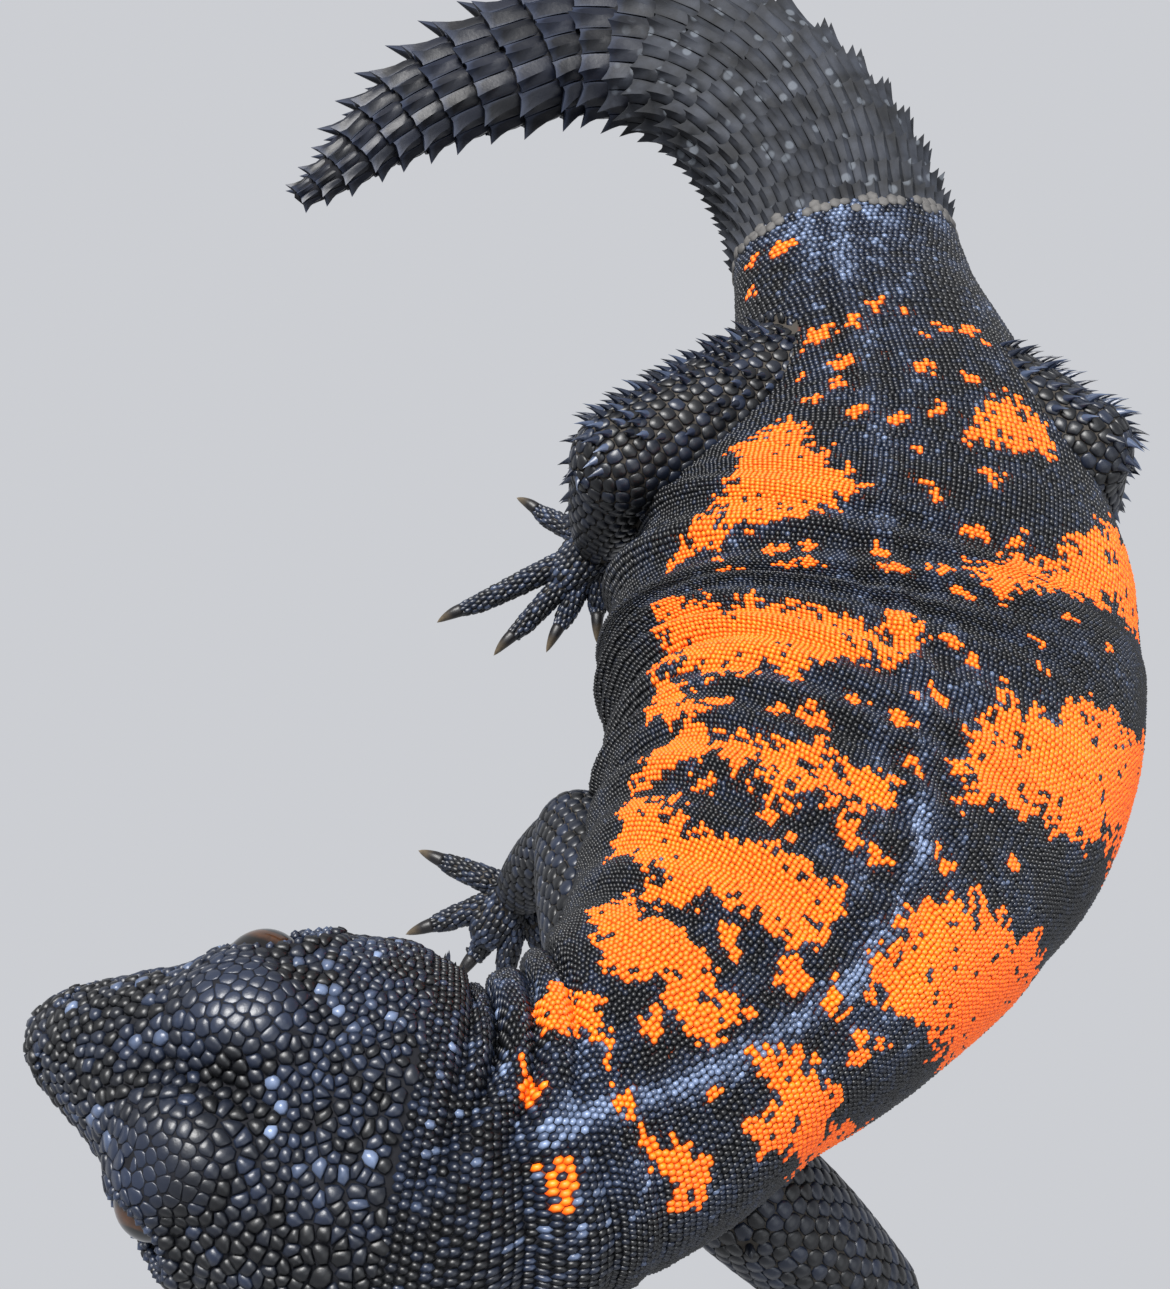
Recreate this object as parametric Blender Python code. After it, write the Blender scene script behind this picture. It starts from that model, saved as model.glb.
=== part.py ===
"""A spiny-tailed lizard, life size, with its front raised and its tail curled round to its right.

Lengths are in millimetres here and become metres when a mesh is made. +Z is up. The origin is on the
flat of the belly that rests on the floor, and the head points towards -X.
"""

import math

import bmesh
import bpy
import numpy as np

MM = 0.001
GAP = 0.35  # kept open between pieces that touch
FLOOR = 0.0

# The body's centre line from the snout to the tip of the tail: x, y, z.
SPINE = np.array([
    (-96.2, -45.7, 71.5),  # snout
    (-77.1, -51.6, 71.0),  # eyes
    (-61.0, -56.7, 70.5),  # back of the jaw
    (-52.5, -57.6, 68.3),  # nape
    (-44.5, -55.2, 64.2),  # neck
    (-34.4, -49.0, 58.0),
    (-26.4, -41.3, 51.5),  # shoulders
    (-18.5, -31.6, 44.0),
    (-12.1, -22.2, 36.5),  # chest
    (-6.2, -12.3, 29.5),
    (-2.2, -1.6, 23.5),
    (1.0, 12.3, 20.0),  # belly
    (5.4, 26.2, 18.7),
    (8.0, 42.0, 17.5),  # loin
    (7.6, 58.0, 16.0),  # hips
    (6.4, 76.0, 13.5),
    (5.2, 92.0, 11.8),  # vent
    (1.8, 107.5, 11.0),
    (-4.7, 121.4, 10.2),  # tail
    (-14.2, 133.6, 9.2),
    (-28.0, 142.0, 8.2),
    (-45.0, 143.5, 7.4),
    (-58.0, 138.5, 7.0),
    (-69.4, 133.3, 6.4),
    (-78.3, 127.8, 5.6),
    (-84.0, 123.3, 4.8),
    (-88.8, 118.5, 3.8),
    (-94.2, 114.2, 2.7),
    (-98.5, 111.2, 1.9),  # tip
])

# How thick the body is, at a distance along that line: half its width, rise above it, drop below it.
GIRTH = np.array([
    (0.0, 0.0, 0.0, 0.0),
    (0.3, 1.7, 1.6, 1.3),
    (1.0, 2.9, 2.8, 2.3),
    (3.0, 4.5, 4.9, 3.8),
    (5.0, 5.6, 6.8, 4.9),
    (9.0, 7.5, 9.4, 6.4),
    (13.0, 9.6, 11.5, 7.6),
    (17.0, 12.2, 13.1, 8.7),
    (20.0, 14.3, 13.8, 9.4),
    (24.0, 16.4, 14.2, 10.2),
    (28.0, 17.7, 14.3, 10.9),
    (33.0, 18.3, 14.3, 11.5),
    (38.0, 17.9, 14.0, 11.9),
    (44.0, 16.9, 13.4, 12.0),
    (48.0, 16.4, 13.4, 12.0),
    (56.0, 16.4, 14.2, 12.8),
    (64.0, 17.4, 15.3, 14.0),
    (72.0, 18.4, 16.8, 15.4),
    (80.0, 21.3, 18.6, 16.8),
    (88.0, 24.6, 20.2, 18.2),
    (96.0, 27.7, 21.8, 20.0),
    (104.0, 30.9, 23.2, 22.0),
    (112.0, 33.1, 24.8, 23.5),
    (120.0, 36.2, 26.0, 24.0),
    (128.0, 38.9, 27.0, 24.0),
    (136.0, 40.7, 27.9, 24.0),
    (146.0, 41.5, 28.4, 24.0),
    (154.0, 41.1, 28.0, 23.5),
    (160.0, 39.8, 27.5, 22.5),
    (168.0, 37.2, 26.2, 21.5),
    (176.0, 33.6, 24.5, 20.5),
    (184.0, 30.2, 22.6, 19.5),
    (192.0, 27.2, 20.6, 18.5),
    (200.0, 24.8, 18.5, 17.2),
    (208.0, 23.0, 16.8, 15.8),
    (216.0, 21.6, 15.0, 14.5),
    (228.0, 20.6, 13.2, 12.9),
    (240.0, 19.7, 12.4, 12.2),
    (250.0, 19.7, 12.2, 11.8),
    (262.0, 19.5, 12.0, 11.2),
    (274.0, 19.1, 11.6, 10.6),
    (286.0, 18.4, 11.0, 10.0),
    (298.0, 17.6, 10.3, 9.2),
    (310.0, 15.8, 9.4, 8.6),
    (322.0, 14.0, 8.5, 8.2),
    (334.0, 12.0, 7.4, 7.8),
    (345.0, 9.9, 6.3, 7.0),
    (352.0, 8.3, 5.4, 6.4),
    (358.0, 6.8, 4.6, 5.6),
    (364.0, 5.1, 3.7, 4.6),
    (370.0, 3.5, 2.8, 3.6),
    (375.0, 2.2, 2.0, 2.8),
    (379.5, 1.1, 1.2, 2.0),
])
SQUARENESS = 2.25  # 2 is an ellipse, more is boxier
TRUNK_POINTS = 32
HEAD_ROLL = math.radians(12)  # the head leans to its right

HEAD_END = 44.0
NECK_END = 64.0
CHEST_END = 112.0
BELLY_END = 172.0
VENT = 229.0

EYE_ALONG, EYE_SIDE, EYE_UP, EYE_RADIUS = 20.5, 10.2, 6.6, 4.2
EAR_ALONG, EAR_SIDE, EAR_UP = 40.5, 17.4, 1.6
NOSTRIL_ALONG, NOSTRIL_SIDE, NOSTRIL_UP = 4.6, 5.0, 4.6

WHORLS = 22
TAIL_PARTS = (  # name, number of whorls, points round the tail: every second one is a spine
    ("tail_base", 6, 36),
    ("tail_middle", 5, 32),
    ("tail_rear", 5, 24),
    ("tail_tip", 6, 16),
)


def smooth_table(at, values, where):
    """Values along a smooth curve through a table's rows, with no overshoot between them."""
    step = np.diff(at)
    rise = np.diff(values) / step
    slope = np.zeros(len(at))
    slope[0], slope[-1] = rise[0], rise[-1]
    same = rise[:-1] * rise[1:] > 0
    mean = 2 * rise[:-1] * rise[1:] / np.where(same, rise[:-1] + rise[1:], 1)
    slope[1:-1] = np.where(same, mean, 0)
    return hermite(at, values, slope, where)


def hermite(at, values, slope, where):
    """The cubic through each value with each slope."""
    i = np.clip(np.searchsorted(at, where, side="right") - 1, 0, len(at) - 2)
    step = at[i + 1] - at[i]
    t = np.clip((where - at[i]) / step, 0, 1)
    a, b = values[i], values[i + 1]
    m, n = slope[i] * step, slope[i + 1] * step
    return (
        a * (1 + 2 * t) * (1 - t) ** 2
        + b * t * t * (3 - 2 * t)
        + m * t * (1 - t) ** 2
        - n * t * t * (1 - t)
    )


def dense_spine(samples=3000):
    """The centre line as many points, and the distance along it at each."""
    chord = np.concatenate([[0], np.cumsum(np.linalg.norm(np.diff(SPINE, axis=0), axis=1))])
    where = np.linspace(0, chord[-1], samples)
    line = np.stack([hermite(chord, v, np.gradient(v, chord), where) for v in SPINE.T], axis=1)
    along = np.concatenate([[0], np.cumsum(np.linalg.norm(np.diff(line, axis=0), axis=1))])
    return line, along


LINE, ALONG = dense_spine()
TAIL_END = float(ALONG[-1])


def spine_frame(s):
    """Centre, backward, left and up directions at distance s along the body."""
    s = np.asarray(s, float)
    def at(x):
        return np.stack([np.interp(x, ALONG, c) for c in LINE.T], axis=-1)
    back = at(np.minimum(s + 1.5, TAIL_END)) - at(np.maximum(s - 1.5, 0))
    back /= np.linalg.norm(back, axis=-1, keepdims=True)
    left = np.stack([back[..., 1], -back[..., 0], np.zeros(s.shape)], axis=-1)
    left /= np.linalg.norm(left, axis=-1, keepdims=True)
    up = np.cross(left, back)
    roll = (HEAD_ROLL * (1 - np.clip((s - HEAD_END) / 30, 0, 1)))[..., None]
    left, up = left * np.cos(roll) + up * np.sin(roll), up * np.cos(roll) - left * np.sin(roll)
    return at(s), back, left, up


def girth(s):
    return [smooth_table(GIRTH[:, 0], GIRTH[:, k], s) for k in (1, 2, 3)]


def bump(x, centre, spread):
    return np.exp(-(((x - centre) / spread) ** 2))


def head_relief(s, side, up):
    """How far the head's skin stands out or in: brow domes, lids, cheeks and the line of the mouth."""
    top = up > 0
    domes = 1.9 * bump(s, EYE_ALONG + 0.5, 5.6) * bump(np.abs(side), 7.2, 3.5) * top
    valley = -1.0 * bump(s, 21, 8) * bump(side, 0, 3.4) * top
    from_eye = np.hypot((s - EYE_ALONG) / 1.25, (up - EYE_UP) / 0.95)
    lids = 0.9 * bump(from_eye, 4.2, 1.3) * (np.abs(side) > 8)
    cheeks = 1.1 * bump(s, 33, 6) * bump(up, -2, 6)
    mouth = -0.8 * bump(up, 0, 0.9) / (1 + np.exp((s - 30) / 1.2))
    nape = -1.2 * bump(s, 46, 2.2) * top
    return domes + valley + lids + cheeks + mouth + nape


def body_points(s, phi, grow=0.0):
    """Points of the body's skin at distance s and angle phi: 0 is its left side, a quarter turn its back."""
    s, phi = np.broadcast_arrays(np.asarray(s, float), np.asarray(phi, float))
    centre, _, left, up = spine_frame(s)
    width, rise, drop = girth(s)
    c, k = np.cos(phi), np.sin(phi)
    power = 2 / SQUARENESS
    side = np.sign(c) * np.abs(c) ** power * width
    height = np.sign(k) * np.abs(k) ** power * np.where(k > 0, rise, drop)
    length = np.hypot(side, height) + 1e-9
    relief = np.where(s < 60, head_relief(s, side, height), 0) + grow
    side = side * (1 + relief / length)
    height = height * (1 + relief / length)
    points = centre + left * side[..., None] + up * height[..., None]
    points[..., 2] = np.maximum(points[..., 2], FLOOR)
    return points


def material(name, colour, roughness):
    made = bpy.data.materials.new(name)
    made.use_nodes = True
    shader = made.node_tree.nodes["Principled BSDF"]
    shader.inputs["Base Color"].default_value = (*colour, 1)
    shader.inputs["Roughness"].default_value = roughness
    shader.inputs["Metallic"].default_value = 0
    return made


def make_object(name, vertices, faces, finish=None):
    """An object from points in millimetres, triangulated, with its faces pointing out."""
    mesh = bpy.data.meshes.new(name)
    mesh.from_pydata([tuple(v * MM for v in p) for p in vertices], [], faces)
    work = bmesh.new()
    work.from_mesh(mesh)
    bmesh.ops.recalc_face_normals(work, faces=work.faces)
    bmesh.ops.triangulate(work, faces=work.faces)
    work.to_mesh(mesh)
    work.free()
    mesh.shade_smooth()
    mesh.set_sharp_from_angle(angle=math.radians(40))
    if finish:
        mesh.materials.append(finish)
    made = bpy.data.objects.new(name, mesh)
    bpy.context.scene.collection.objects.link(made)
    return made


def skin_rings(name, rings, finish=None, first=None, last=None):
    """Joins rings of points into a closed skin. Each end is a flat cap, or closes on a given point."""
    rings = np.asarray(rings)
    count, around = rings.shape[:2]
    vertices = [tuple(p) for p in rings.reshape(-1, 3)]
    faces = []
    for i in range(count - 1):
        for j in range(around):
            k = (j + 1) % around
            faces.append((i * around + j, i * around + k, (i + 1) * around + k, (i + 1) * around + j))
    for end, start in ((first, 0), (last, (count - 1) * around)):
        ring = [start + j for j in range(around)]
        if end is None:
            faces.append(ring)
            continue
        vertices.append(tuple(end))
        tip = len(vertices) - 1
        faces += [(ring[j], ring[(j + 1) % around], tip) for j in range(around)]
    return make_object(name, vertices, faces, finish)


def body_part(name, stations, around, finish, grow=0.0, snout=False):
    """A length of the body between its first and last station, each cut square to the centre line."""
    phi = np.arange(around) * 2 * math.pi / around
    rings = body_points(np.asarray(stations)[:, None], phi[None, :], grow)
    rings = open_cuts(rings, stations[0], stations[-1], first_too=not snout)
    first = None
    if snout:
        first = body_points(0.0, 0.0)
        rings = rings[1:]
    return skin_rings(name, rings, finish, first=first)


def open_cuts(rings, start, end, first_too=True, last_too=True):
    """Moves the end rings inwards by half a gap, so that both sides of a cut stay parallel."""
    _, back, _, _ = spine_frame([start, end])
    if first_too:
        rings[0] += back[0] * GAP / 2
    if last_too:
        rings[-1] -= back[1] * GAP / 2
    rings[..., 2] = np.maximum(rings[..., 2], FLOOR)
    return rings


def combine(target, others, operation):
    """Cuts the others from the target, or joins them to it, and keeps the largest closed surface."""
    for other in others:
        change = target.modifiers.new(other.name, "BOOLEAN")
        change.operation = operation
        change.solver = "MANIFOLD"
        change.object = other
        bpy.context.view_layer.update()
        graph = bpy.context.evaluated_depsgraph_get()
        mesh = bpy.data.meshes.new_from_object(target.evaluated_get(graph))
        target.modifiers.clear()
        target.data = mesh
    keep_largest(target)


def keep_largest(target):
    """Drops every loose surface but the one that takes the most room."""
    work = bmesh.new()
    work.from_mesh(target.data)
    bmesh.ops.triangulate(work, faces=work.faces)
    work.faces.ensure_lookup_table()
    unseen, groups = set(work.faces), []
    while unseen:
        group, edge = [], [unseen.pop()]
        while edge:
            face = edge.pop()
            group.append(face)
            near = {f for e in face.edges for f in e.link_faces} & unseen
            unseen -= near
            edge += near
        groups.append(group)
    def room(group):
        return abs(sum(f.verts[0].co.dot(f.verts[1].co.cross(f.verts[2].co)) for f in group))
    groups.sort(key=room)
    for group in groups[:-1]:
        bmesh.ops.delete(work, geom=group, context="FACES")
    work.to_mesh(target.data)
    work.free()


def discard(objects):
    for made in objects:
        bpy.data.objects.remove(made)


def ball(name, centre, radii, segments=12, rows=8, axes=None, finish=None):
    """An ellipsoid, with its radii along the given axes."""
    axes = np.eye(3) if axes is None else np.asarray(axes)
    turn = np.arange(segments) * 2 * math.pi / segments
    rings = []
    for i in range(1, rows):
        tilt = math.pi * i / rows
        flat = np.stack([
            radii[0] * math.sin(tilt) * np.cos(turn),
            radii[1] * math.sin(tilt) * np.sin(turn),
            np.full(segments, radii[2] * math.cos(tilt)),
        ], axis=1)
        rings.append(centre + flat @ axes)
    top, bottom = centre + radii[2] * axes[2], centre - radii[2] * axes[2]
    return skin_rings(name, rings, finish, first=top, last=bottom)


def head_place(along, side, up):
    """A point in the head, from the snout back, to its left and up from the line of the mouth."""
    centre, _, left, rise = spine_frame(along)
    return centre + left * side + rise * up


def make_head(finish, eye_finish):
    stations = [0, 0.3, 1, 2, 3, 4.5, 6, 8, 10, 12, 14, 15.5, 17, 18.5, 20, 21.5, 23, 24.5, 26]
    stations += [28, 30, 32, 34, 36, 38, 40, 42, HEAD_END]
    head = body_part("head", stations, 44, finish, snout=True)
    _, back, left, up = spine_frame(EYE_ALONG)
    axes = [back, up, left]
    cutters = []
    for side, word in ((1, "left"), (-1, "right")):
        eye = head_place(EYE_ALONG, side * EYE_SIDE, EYE_UP)
        ball(f"eye_{word}", eye, (EYE_RADIUS,) * 3, 14, 8, axes, eye_finish)
        cutters.append(ball("socket", eye, (EYE_RADIUS + GAP,) * 3, 14, 8, axes))
        ear = head_place(EAR_ALONG, side * EAR_SIDE, EAR_UP)
        cutters.append(ball("ear", ear, (1.3, 3.6, 2.2), 10, 6, axes))
        nostril = head_place(NOSTRIL_ALONG, side * NOSTRIL_SIDE, NOSTRIL_UP)
        cutters.append(ball("nostril", nostril, (0.9, 0.8, 1.3), 8, 6, axes))
    combine(head, cutters, "DIFFERENCE")
    discard(cutters)


def make_trunk(finish):
    """The trunk's lengths, and a slightly larger copy of all of them that the limbs are cut by."""
    parts = (
        ("neck", HEAD_END, NECK_END, 5),
        ("chest", NECK_END, CHEST_END, 9),
        ("belly", CHEST_END, BELLY_END, 11),
        ("hips", BELLY_END, VENT, 10),
    )
    every = [np.linspace(20, HEAD_END, 8)]
    for name, start, end, rings in parts:
        every.append(np.linspace(start, end, rings))
        body_part(name, every[-1], TRUNK_POINTS, finish)
    every.append(np.linspace(VENT, VENT + 60, 12))
    stations = np.unique(np.round(np.concatenate(every), 6))
    return body_part("body_cutter", stations, TRUNK_POINTS, None, grow=GAP)


def whorl_ends():
    """Where each ring of tail scales ends, from the vent back: short, then long, then short again."""
    x = np.arange(WHORLS) / (WHORLS - 1)
    length = 5.1 + 3.7 * np.sin(math.pi * x**1.1) ** 1.3 - 0.6 * x
    return VENT + np.cumsum(length) * (TAIL_END - VENT) / length.sum()


def tail_ring(s, around, lift, pitch=None):
    """One ring of the tail's skin. With a pitch, every second point runs back and out to a spine's tip."""
    phi = np.arange(around) * 2 * math.pi / around
    _, back, left, up = spine_frame(s)
    size = math.sqrt(float(girth(s)[0]) / 18)
    ring = body_points(s, phi, lift * size)
    if pitch is None:
        return ring
    upper = np.clip((np.sin(phi) + 0.35) / 0.5, 0, 1)
    reach = (0.6 * np.abs(np.cos(phi)) ** 3 + 0.26 * np.clip(np.sin(phi), 0, 1)) * upper * pitch
    reach = np.where(np.arange(around) % 2 == 0, reach, 0)[:, None]
    outward = left * np.cos(phi)[:, None] + up * np.sin(phi)[:, None]
    ring = ring + reach * (0.75 * back + 0.62 * outward)
    ring[:, 2] = np.maximum(ring[:, 2], FLOOR)
    return ring


def make_tail(finish):
    """Rings of plates, each raised at its rear edge, where its spines are, over the next ring's front."""
    ends = whorl_ends()
    start, index = VENT, 0
    for name, whorls, around in TAIL_PARTS:
        rings = []
        for k in range(whorls):
            end = float(ends[index])
            rings.append(tail_ring(start + (0 if k == 0 else 0.15), around, -0.35))
            rings.append(tail_ring(start + 0.25 * (end - start), around, 0.25))
            rings.append(tail_ring(end - 0.5, around, 0.9, end - start))
            start = end
            index += 1
        rings.append(tail_ring(min(start, TAIL_END), around, -0.35))
        first = float(ends[index - whorls - 1]) if index > whorls else VENT
        rings = open_cuts(np.array(rings), first, start, last_too=index < WHORLS)
        skin_rings(name, rings, finish)


def limb_axes(start, end):
    """Along, side and up directions of a limb between two joints."""
    along = (end - start) / np.linalg.norm(end - start)
    guide = np.array([0, 0, 1.0]) if abs(along[2]) < 0.9 else np.array([0, 1.0, 0])
    side = np.cross(guide, along)
    side /= np.linalg.norm(side)
    return along, side, np.cross(along, side)


def limb(name, start, end, radii, bulge, finish=None, grow=0.0, flat=1.0, around=12):
    """A tapered, round-ended length of limb, fuller towards its middle. Flat squeezes its height."""
    start, end = np.asarray(start, float), np.asarray(end, float)
    along, side, up = limb_axes(start, end)
    phi = np.arange(around) * 2 * math.pi / around
    first, last = radii[0] + grow, radii[1] + grow
    turns = np.radians([70, 40])
    steps = [(start - along * first * math.sin(a), first * math.cos(a)) for a in turns]
    for t in np.linspace(0, 1, 5):
        radius = first + (last - first) * t + bulge * math.sin(math.pi * t)
        steps.append((start + (end - start) * t, radius))
    steps += [(end + along * last * math.sin(a), last * math.cos(a)) for a in turns[::-1]]
    rings = []
    for centre, radius in steps:
        ring = centre + radius * (np.outer(np.cos(phi), side) + flat * np.outer(np.sin(phi), up))
        ring[:, 2] = np.maximum(ring[:, 2], FLOOR)
        rings.append(ring)
    tips = [start - along * first, end + along * last]
    for tip in tips:
        tip[2] = max(tip[2], FLOOR)
    return skin_rings(name, rings, finish, first=tips[0], last=tips[1])


def limb_spines(start, end, radii, rows, per_row, turn_range, height):
    """Five-sided spines in staggered rows on one side of a limb, leaning towards its far end."""
    start, end = np.asarray(start, float), np.asarray(end, float)
    along, side, up = limb_axes(start, end)
    made = []
    for row in range(rows):
        t = 0.18 + 0.86 * row / (rows - 1)
        radius = radii[0] + (radii[1] - radii[0]) * min(t, 1)
        for k in range(per_row):
            turn = turn_range[0] + (turn_range[1] - turn_range[0]) * (k + 0.5 * (row % 2)) / per_row
            outward = math.cos(turn) * side + math.sin(turn) * up
            root = start + (end - start) * t + outward * (radius - 0.9)
            lean = outward + 0.55 * along
            lean /= np.linalg.norm(lean)
            across = np.cross(lean, along)
            across /= np.linalg.norm(across)
            other = np.cross(lean, across)
            turns = np.arange(5) * 2 * math.pi / 5
            ring = root + 1.5 * (np.outer(np.cos(turns), across) + np.outer(np.sin(turns), other))
            if ring[:, 2].min() > 1:
                tip = root + lean * (height + 0.9)
                made.append(skin_rings("spine", [ring], None, last=tip))
    return made


# Each leg: its joints from the body out, the radius at each, and whether it is spiny.
LEGS = {
    "arm_right": dict(
        joints=((-38.5, -37.5, 47.0), (-42.8, -19.8, 30.0), (-52.3, -25.0, 7.8)),
        radii=(8.4, 6.3, 4.0), bulge=(0.6, 0.9), names=("upper_arm", "forearm", "hand"),
        toes=((-69.0, -17.6), (-70.4, -30.8), (-62.4, -38.0), (-55.5, -41.5), (-46.0, -38.5)),
    ),
    "arm_left": dict(
        joints=((-24.0, -62.5, 44.5), (-7.0, -76.5, 30.0), (-13.5, -87.0, 7.8)),
        radii=(8.4, 6.3, 4.0), bulge=(0.6, 0.9), names=("upper_arm", "forearm", "hand"),
        toes=((-1.0, -97.5), (-9.5, -107.5), (-21.5, -109.0), (-31.5, -102.0), (-30.0, -89.5)),
    ),
    "leg_right": dict(
        joints=((-8.0, 57.0, 19.0), (-36.0, 38.5, 28.5), (-39.5, 34.5, 8.2)),
        radii=(12.4, 8.8, 4.8), bulge=(0.6, 0.8), names=("thigh", "shank", "foot"), spiny=True,
        toes=((-54.2, 46.0), (-67.6, 22.2), (-57.6, 16.2), (-48.6, 16.8), (-40.0, 18.6)),
    ),
    "leg_left": dict(
        joints=((16.0, 57.0, 19.0), (34.8, 40.5, 28.5), (41.5, 33.0, 8.2)),
        radii=(12.4, 8.8, 4.8), bulge=(0.6, 0.8), names=("thigh", "shank", "foot"), spiny=True,
        toes=((54.0, 27.0), (53.5, 12.4), (48.0, 9.8), (41.8, 12.0), (35.5, 21.0)),
    ),
}
CLAW_LENGTH = {"hand": 4.6, "foot": 4.8}


def toe_path(root, tip, rise):
    """A toe's centre line: from inside the foot, over the knuckle, down to its pad and its end."""
    root, tip = np.array([*root[:2], rise]), np.array([*tip, 1.9])
    reach = tip - root
    shares = np.array([0.0, 0.25, 0.5, 0.72, 0.88, 1.0])
    heights = np.array([rise, rise * 0.98, rise * 0.72, 2.1, 1.5, 1.9])
    line = root + shares[:, None] * reach
    line[:, 2] = heights
    return line


def tube(name, line, radii, around, finish=None, tip=None):
    """A tube with flat ends through the points of a line, or closing on a tip."""
    phi = np.arange(around) * 2 * math.pi / around
    heading = np.gradient(line, axis=0)
    heading /= np.linalg.norm(heading, axis=1, keepdims=True)
    rings = []
    for centre, ahead, radius in zip(line, heading, radii):
        side = np.cross([0, 0, 1.0], ahead)
        side /= np.linalg.norm(side)
        up = np.cross(ahead, side)
        ring = centre + radius * (np.outer(np.cos(phi), side) + np.outer(np.sin(phi), up))
        ring[:, 2] = np.maximum(ring[:, 2], FLOOR)
        rings.append(ring)
    return skin_rings(name, rings, finish, last=tip)


def make_claw(name, toe_end, heading, radius, length, finish):
    """A horn claw that leaves the toe level, arches and comes down to a point near the floor."""
    flat = np.array([heading[0], heading[1], 0.0])
    flat /= np.linalg.norm(flat)
    shares = np.array([0.0, 0.3, 0.58, 0.82])
    drop = np.array([0.0, 0.02, -0.28, -0.75])
    line = toe_end + heading * GAP + flat * (shares * length)[:, None]
    line[:, 2] += drop
    radii = radius * np.array([0.86, 0.8, 0.6, 0.36])
    tip = toe_end + flat * (length + GAP)
    tip[2] = 0.35
    phi = np.arange(6) * 2 * math.pi / 6
    ahead = np.gradient(line, axis=0)
    ahead[0] = heading
    ahead /= np.linalg.norm(ahead, axis=1, keepdims=True)
    rings = []
    for centre, forward, r in zip(line, ahead, radii):
        side = np.cross([0, 0, 1.0], forward)
        side /= np.linalg.norm(side)
        up = np.cross(forward, side)
        ring = centre + r * (np.outer(np.cos(phi), side) + np.outer(np.sin(phi), up))
        ring[:, 2] = np.maximum(ring[:, 2], FLOOR + 0.05)
        rings.append(ring)
    skin_rings(name, rings, finish, last=tip)


def make_foot(leg_name, leg, body_cutter, shank_cutter, finish, claw_finish):
    """The palm or sole with its five toes joined on, and a separate claw at the end of each."""
    kind, side_word = leg["names"][2], leg_name.split("_")[1]
    ankle = np.array(leg["joints"][2])
    radius = leg["radii"][2]
    middle = np.mean(leg["toes"][1:4], axis=0)
    reach = middle - ankle[:2]
    reach /= np.linalg.norm(reach)
    knuckles = np.array([*(ankle[:2] + reach * 7.0), 4.0])
    palm_start = np.array([*ankle[:2], ankle[2] - 2.4])
    sole = limb(f"{kind}_{side_word}", palm_start, knuckles, (radius, radius * 0.86), 0.3,
                finish, flat=0.82)
    joined = []
    for i, tip in enumerate(leg["toes"], start=1):
        tip = np.asarray(tip)
        claw = CLAW_LENGTH[kind]
        spread = tip - ankle[:2]
        root = ankle[:2] + spread / np.linalg.norm(spread) * 2.5
        away = (tip - root) / np.linalg.norm(tip - root)
        line = toe_path(root, tip - away * claw, 4.4)
        radii = np.array([2.3, 2.25, 2.1, 1.95, 1.75, 1.35])
        joined.append(tube("toe", line, radii, 8))
        heading = (line[-1] - line[-2]) / np.linalg.norm(line[-1] - line[-2])
        make_claw(f"claw_{kind}_{side_word}_{i}", line[-1], heading, 1.35, claw, claw_finish)
    combine(sole, joined, "UNION")
    combine(sole, [body_cutter, shank_cutter], "DIFFERENCE")
    discard(joined)


def make_leg(leg_name, leg, body_cutter, finish, claw_finish):
    """Upper and lower limb and foot. Each is cut back by what it grows from, so that they meet."""
    root, bend, ankle = (np.array(j) for j in leg["joints"])
    r_root, r_bend, r_ankle = leg["radii"]
    upper_name, lower_name, _ = (f"{n}_{leg_name.split('_')[1]}" for n in leg["names"])
    upper = limb(upper_name, root, bend, (r_root, r_bend), leg["bulge"][0], finish)
    upper_cutter = limb("upper_cutter", root, bend, (r_root, r_bend), leg["bulge"][0], grow=GAP)
    lower = limb(lower_name, bend, ankle, (r_bend - 0.8, r_ankle), leg["bulge"][1], finish)
    lower_cutter = limb("lower_cutter", bend, ankle, (r_bend - 0.8, r_ankle), leg["bulge"][1],
                        grow=GAP)
    made = [upper_cutter, lower_cutter]
    if leg.get("spiny"):
        spines = limb_spines(root, bend, (r_root, r_bend), 6, 6, (0.15, math.pi - 0.15), 2.3)
        combine(upper, spines, "UNION")
        made += spines
    combine(upper, [body_cutter], "DIFFERENCE")
    combine(lower, [body_cutter, upper_cutter], "DIFFERENCE")
    make_foot(leg_name, leg, body_cutter, lower_cutter, finish, claw_finish)
    discard(made)


def main():
    for old in list(bpy.data.objects):
        bpy.data.objects.remove(old)
    black = material("black_skin", (0.02, 0.022, 0.03), 0.45)
    plates = material("tail_plates", (0.045, 0.048, 0.058), 0.5)
    horn = material("claw_horn", (0.22, 0.16, 0.09), 0.35)
    iris = material("eye", (0.03, 0.018, 0.01), 0.08)
    make_head(black, iris)
    body_cutter = make_trunk(black)
    make_tail(plates)
    for leg_name, leg in LEGS.items():
        make_leg(leg_name, leg, body_cutter, black, horn)
    discard([body_cutter])


main()
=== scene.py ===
# %% [markdown]
# # A spiny-tailed lizard in black and orange
#
# The animal rests on its belly with its front raised, its head turned to its right and its tail curled
# round. The packed model already has its true shape, in plain solids. This file gives it its looks: one
# skin under everything, tens of thousands of scales that are real mesh, ringed tail plates with spines,
# eyes and claws. Every shape is worked out with numpy from a few measures and written into a mesh at
# once, because that is fast and because a formula is easier to change than a sculpted surface.
# Measures are in millimetres and become metres when a mesh is made.

# %% Start from the packed model
import math

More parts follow.
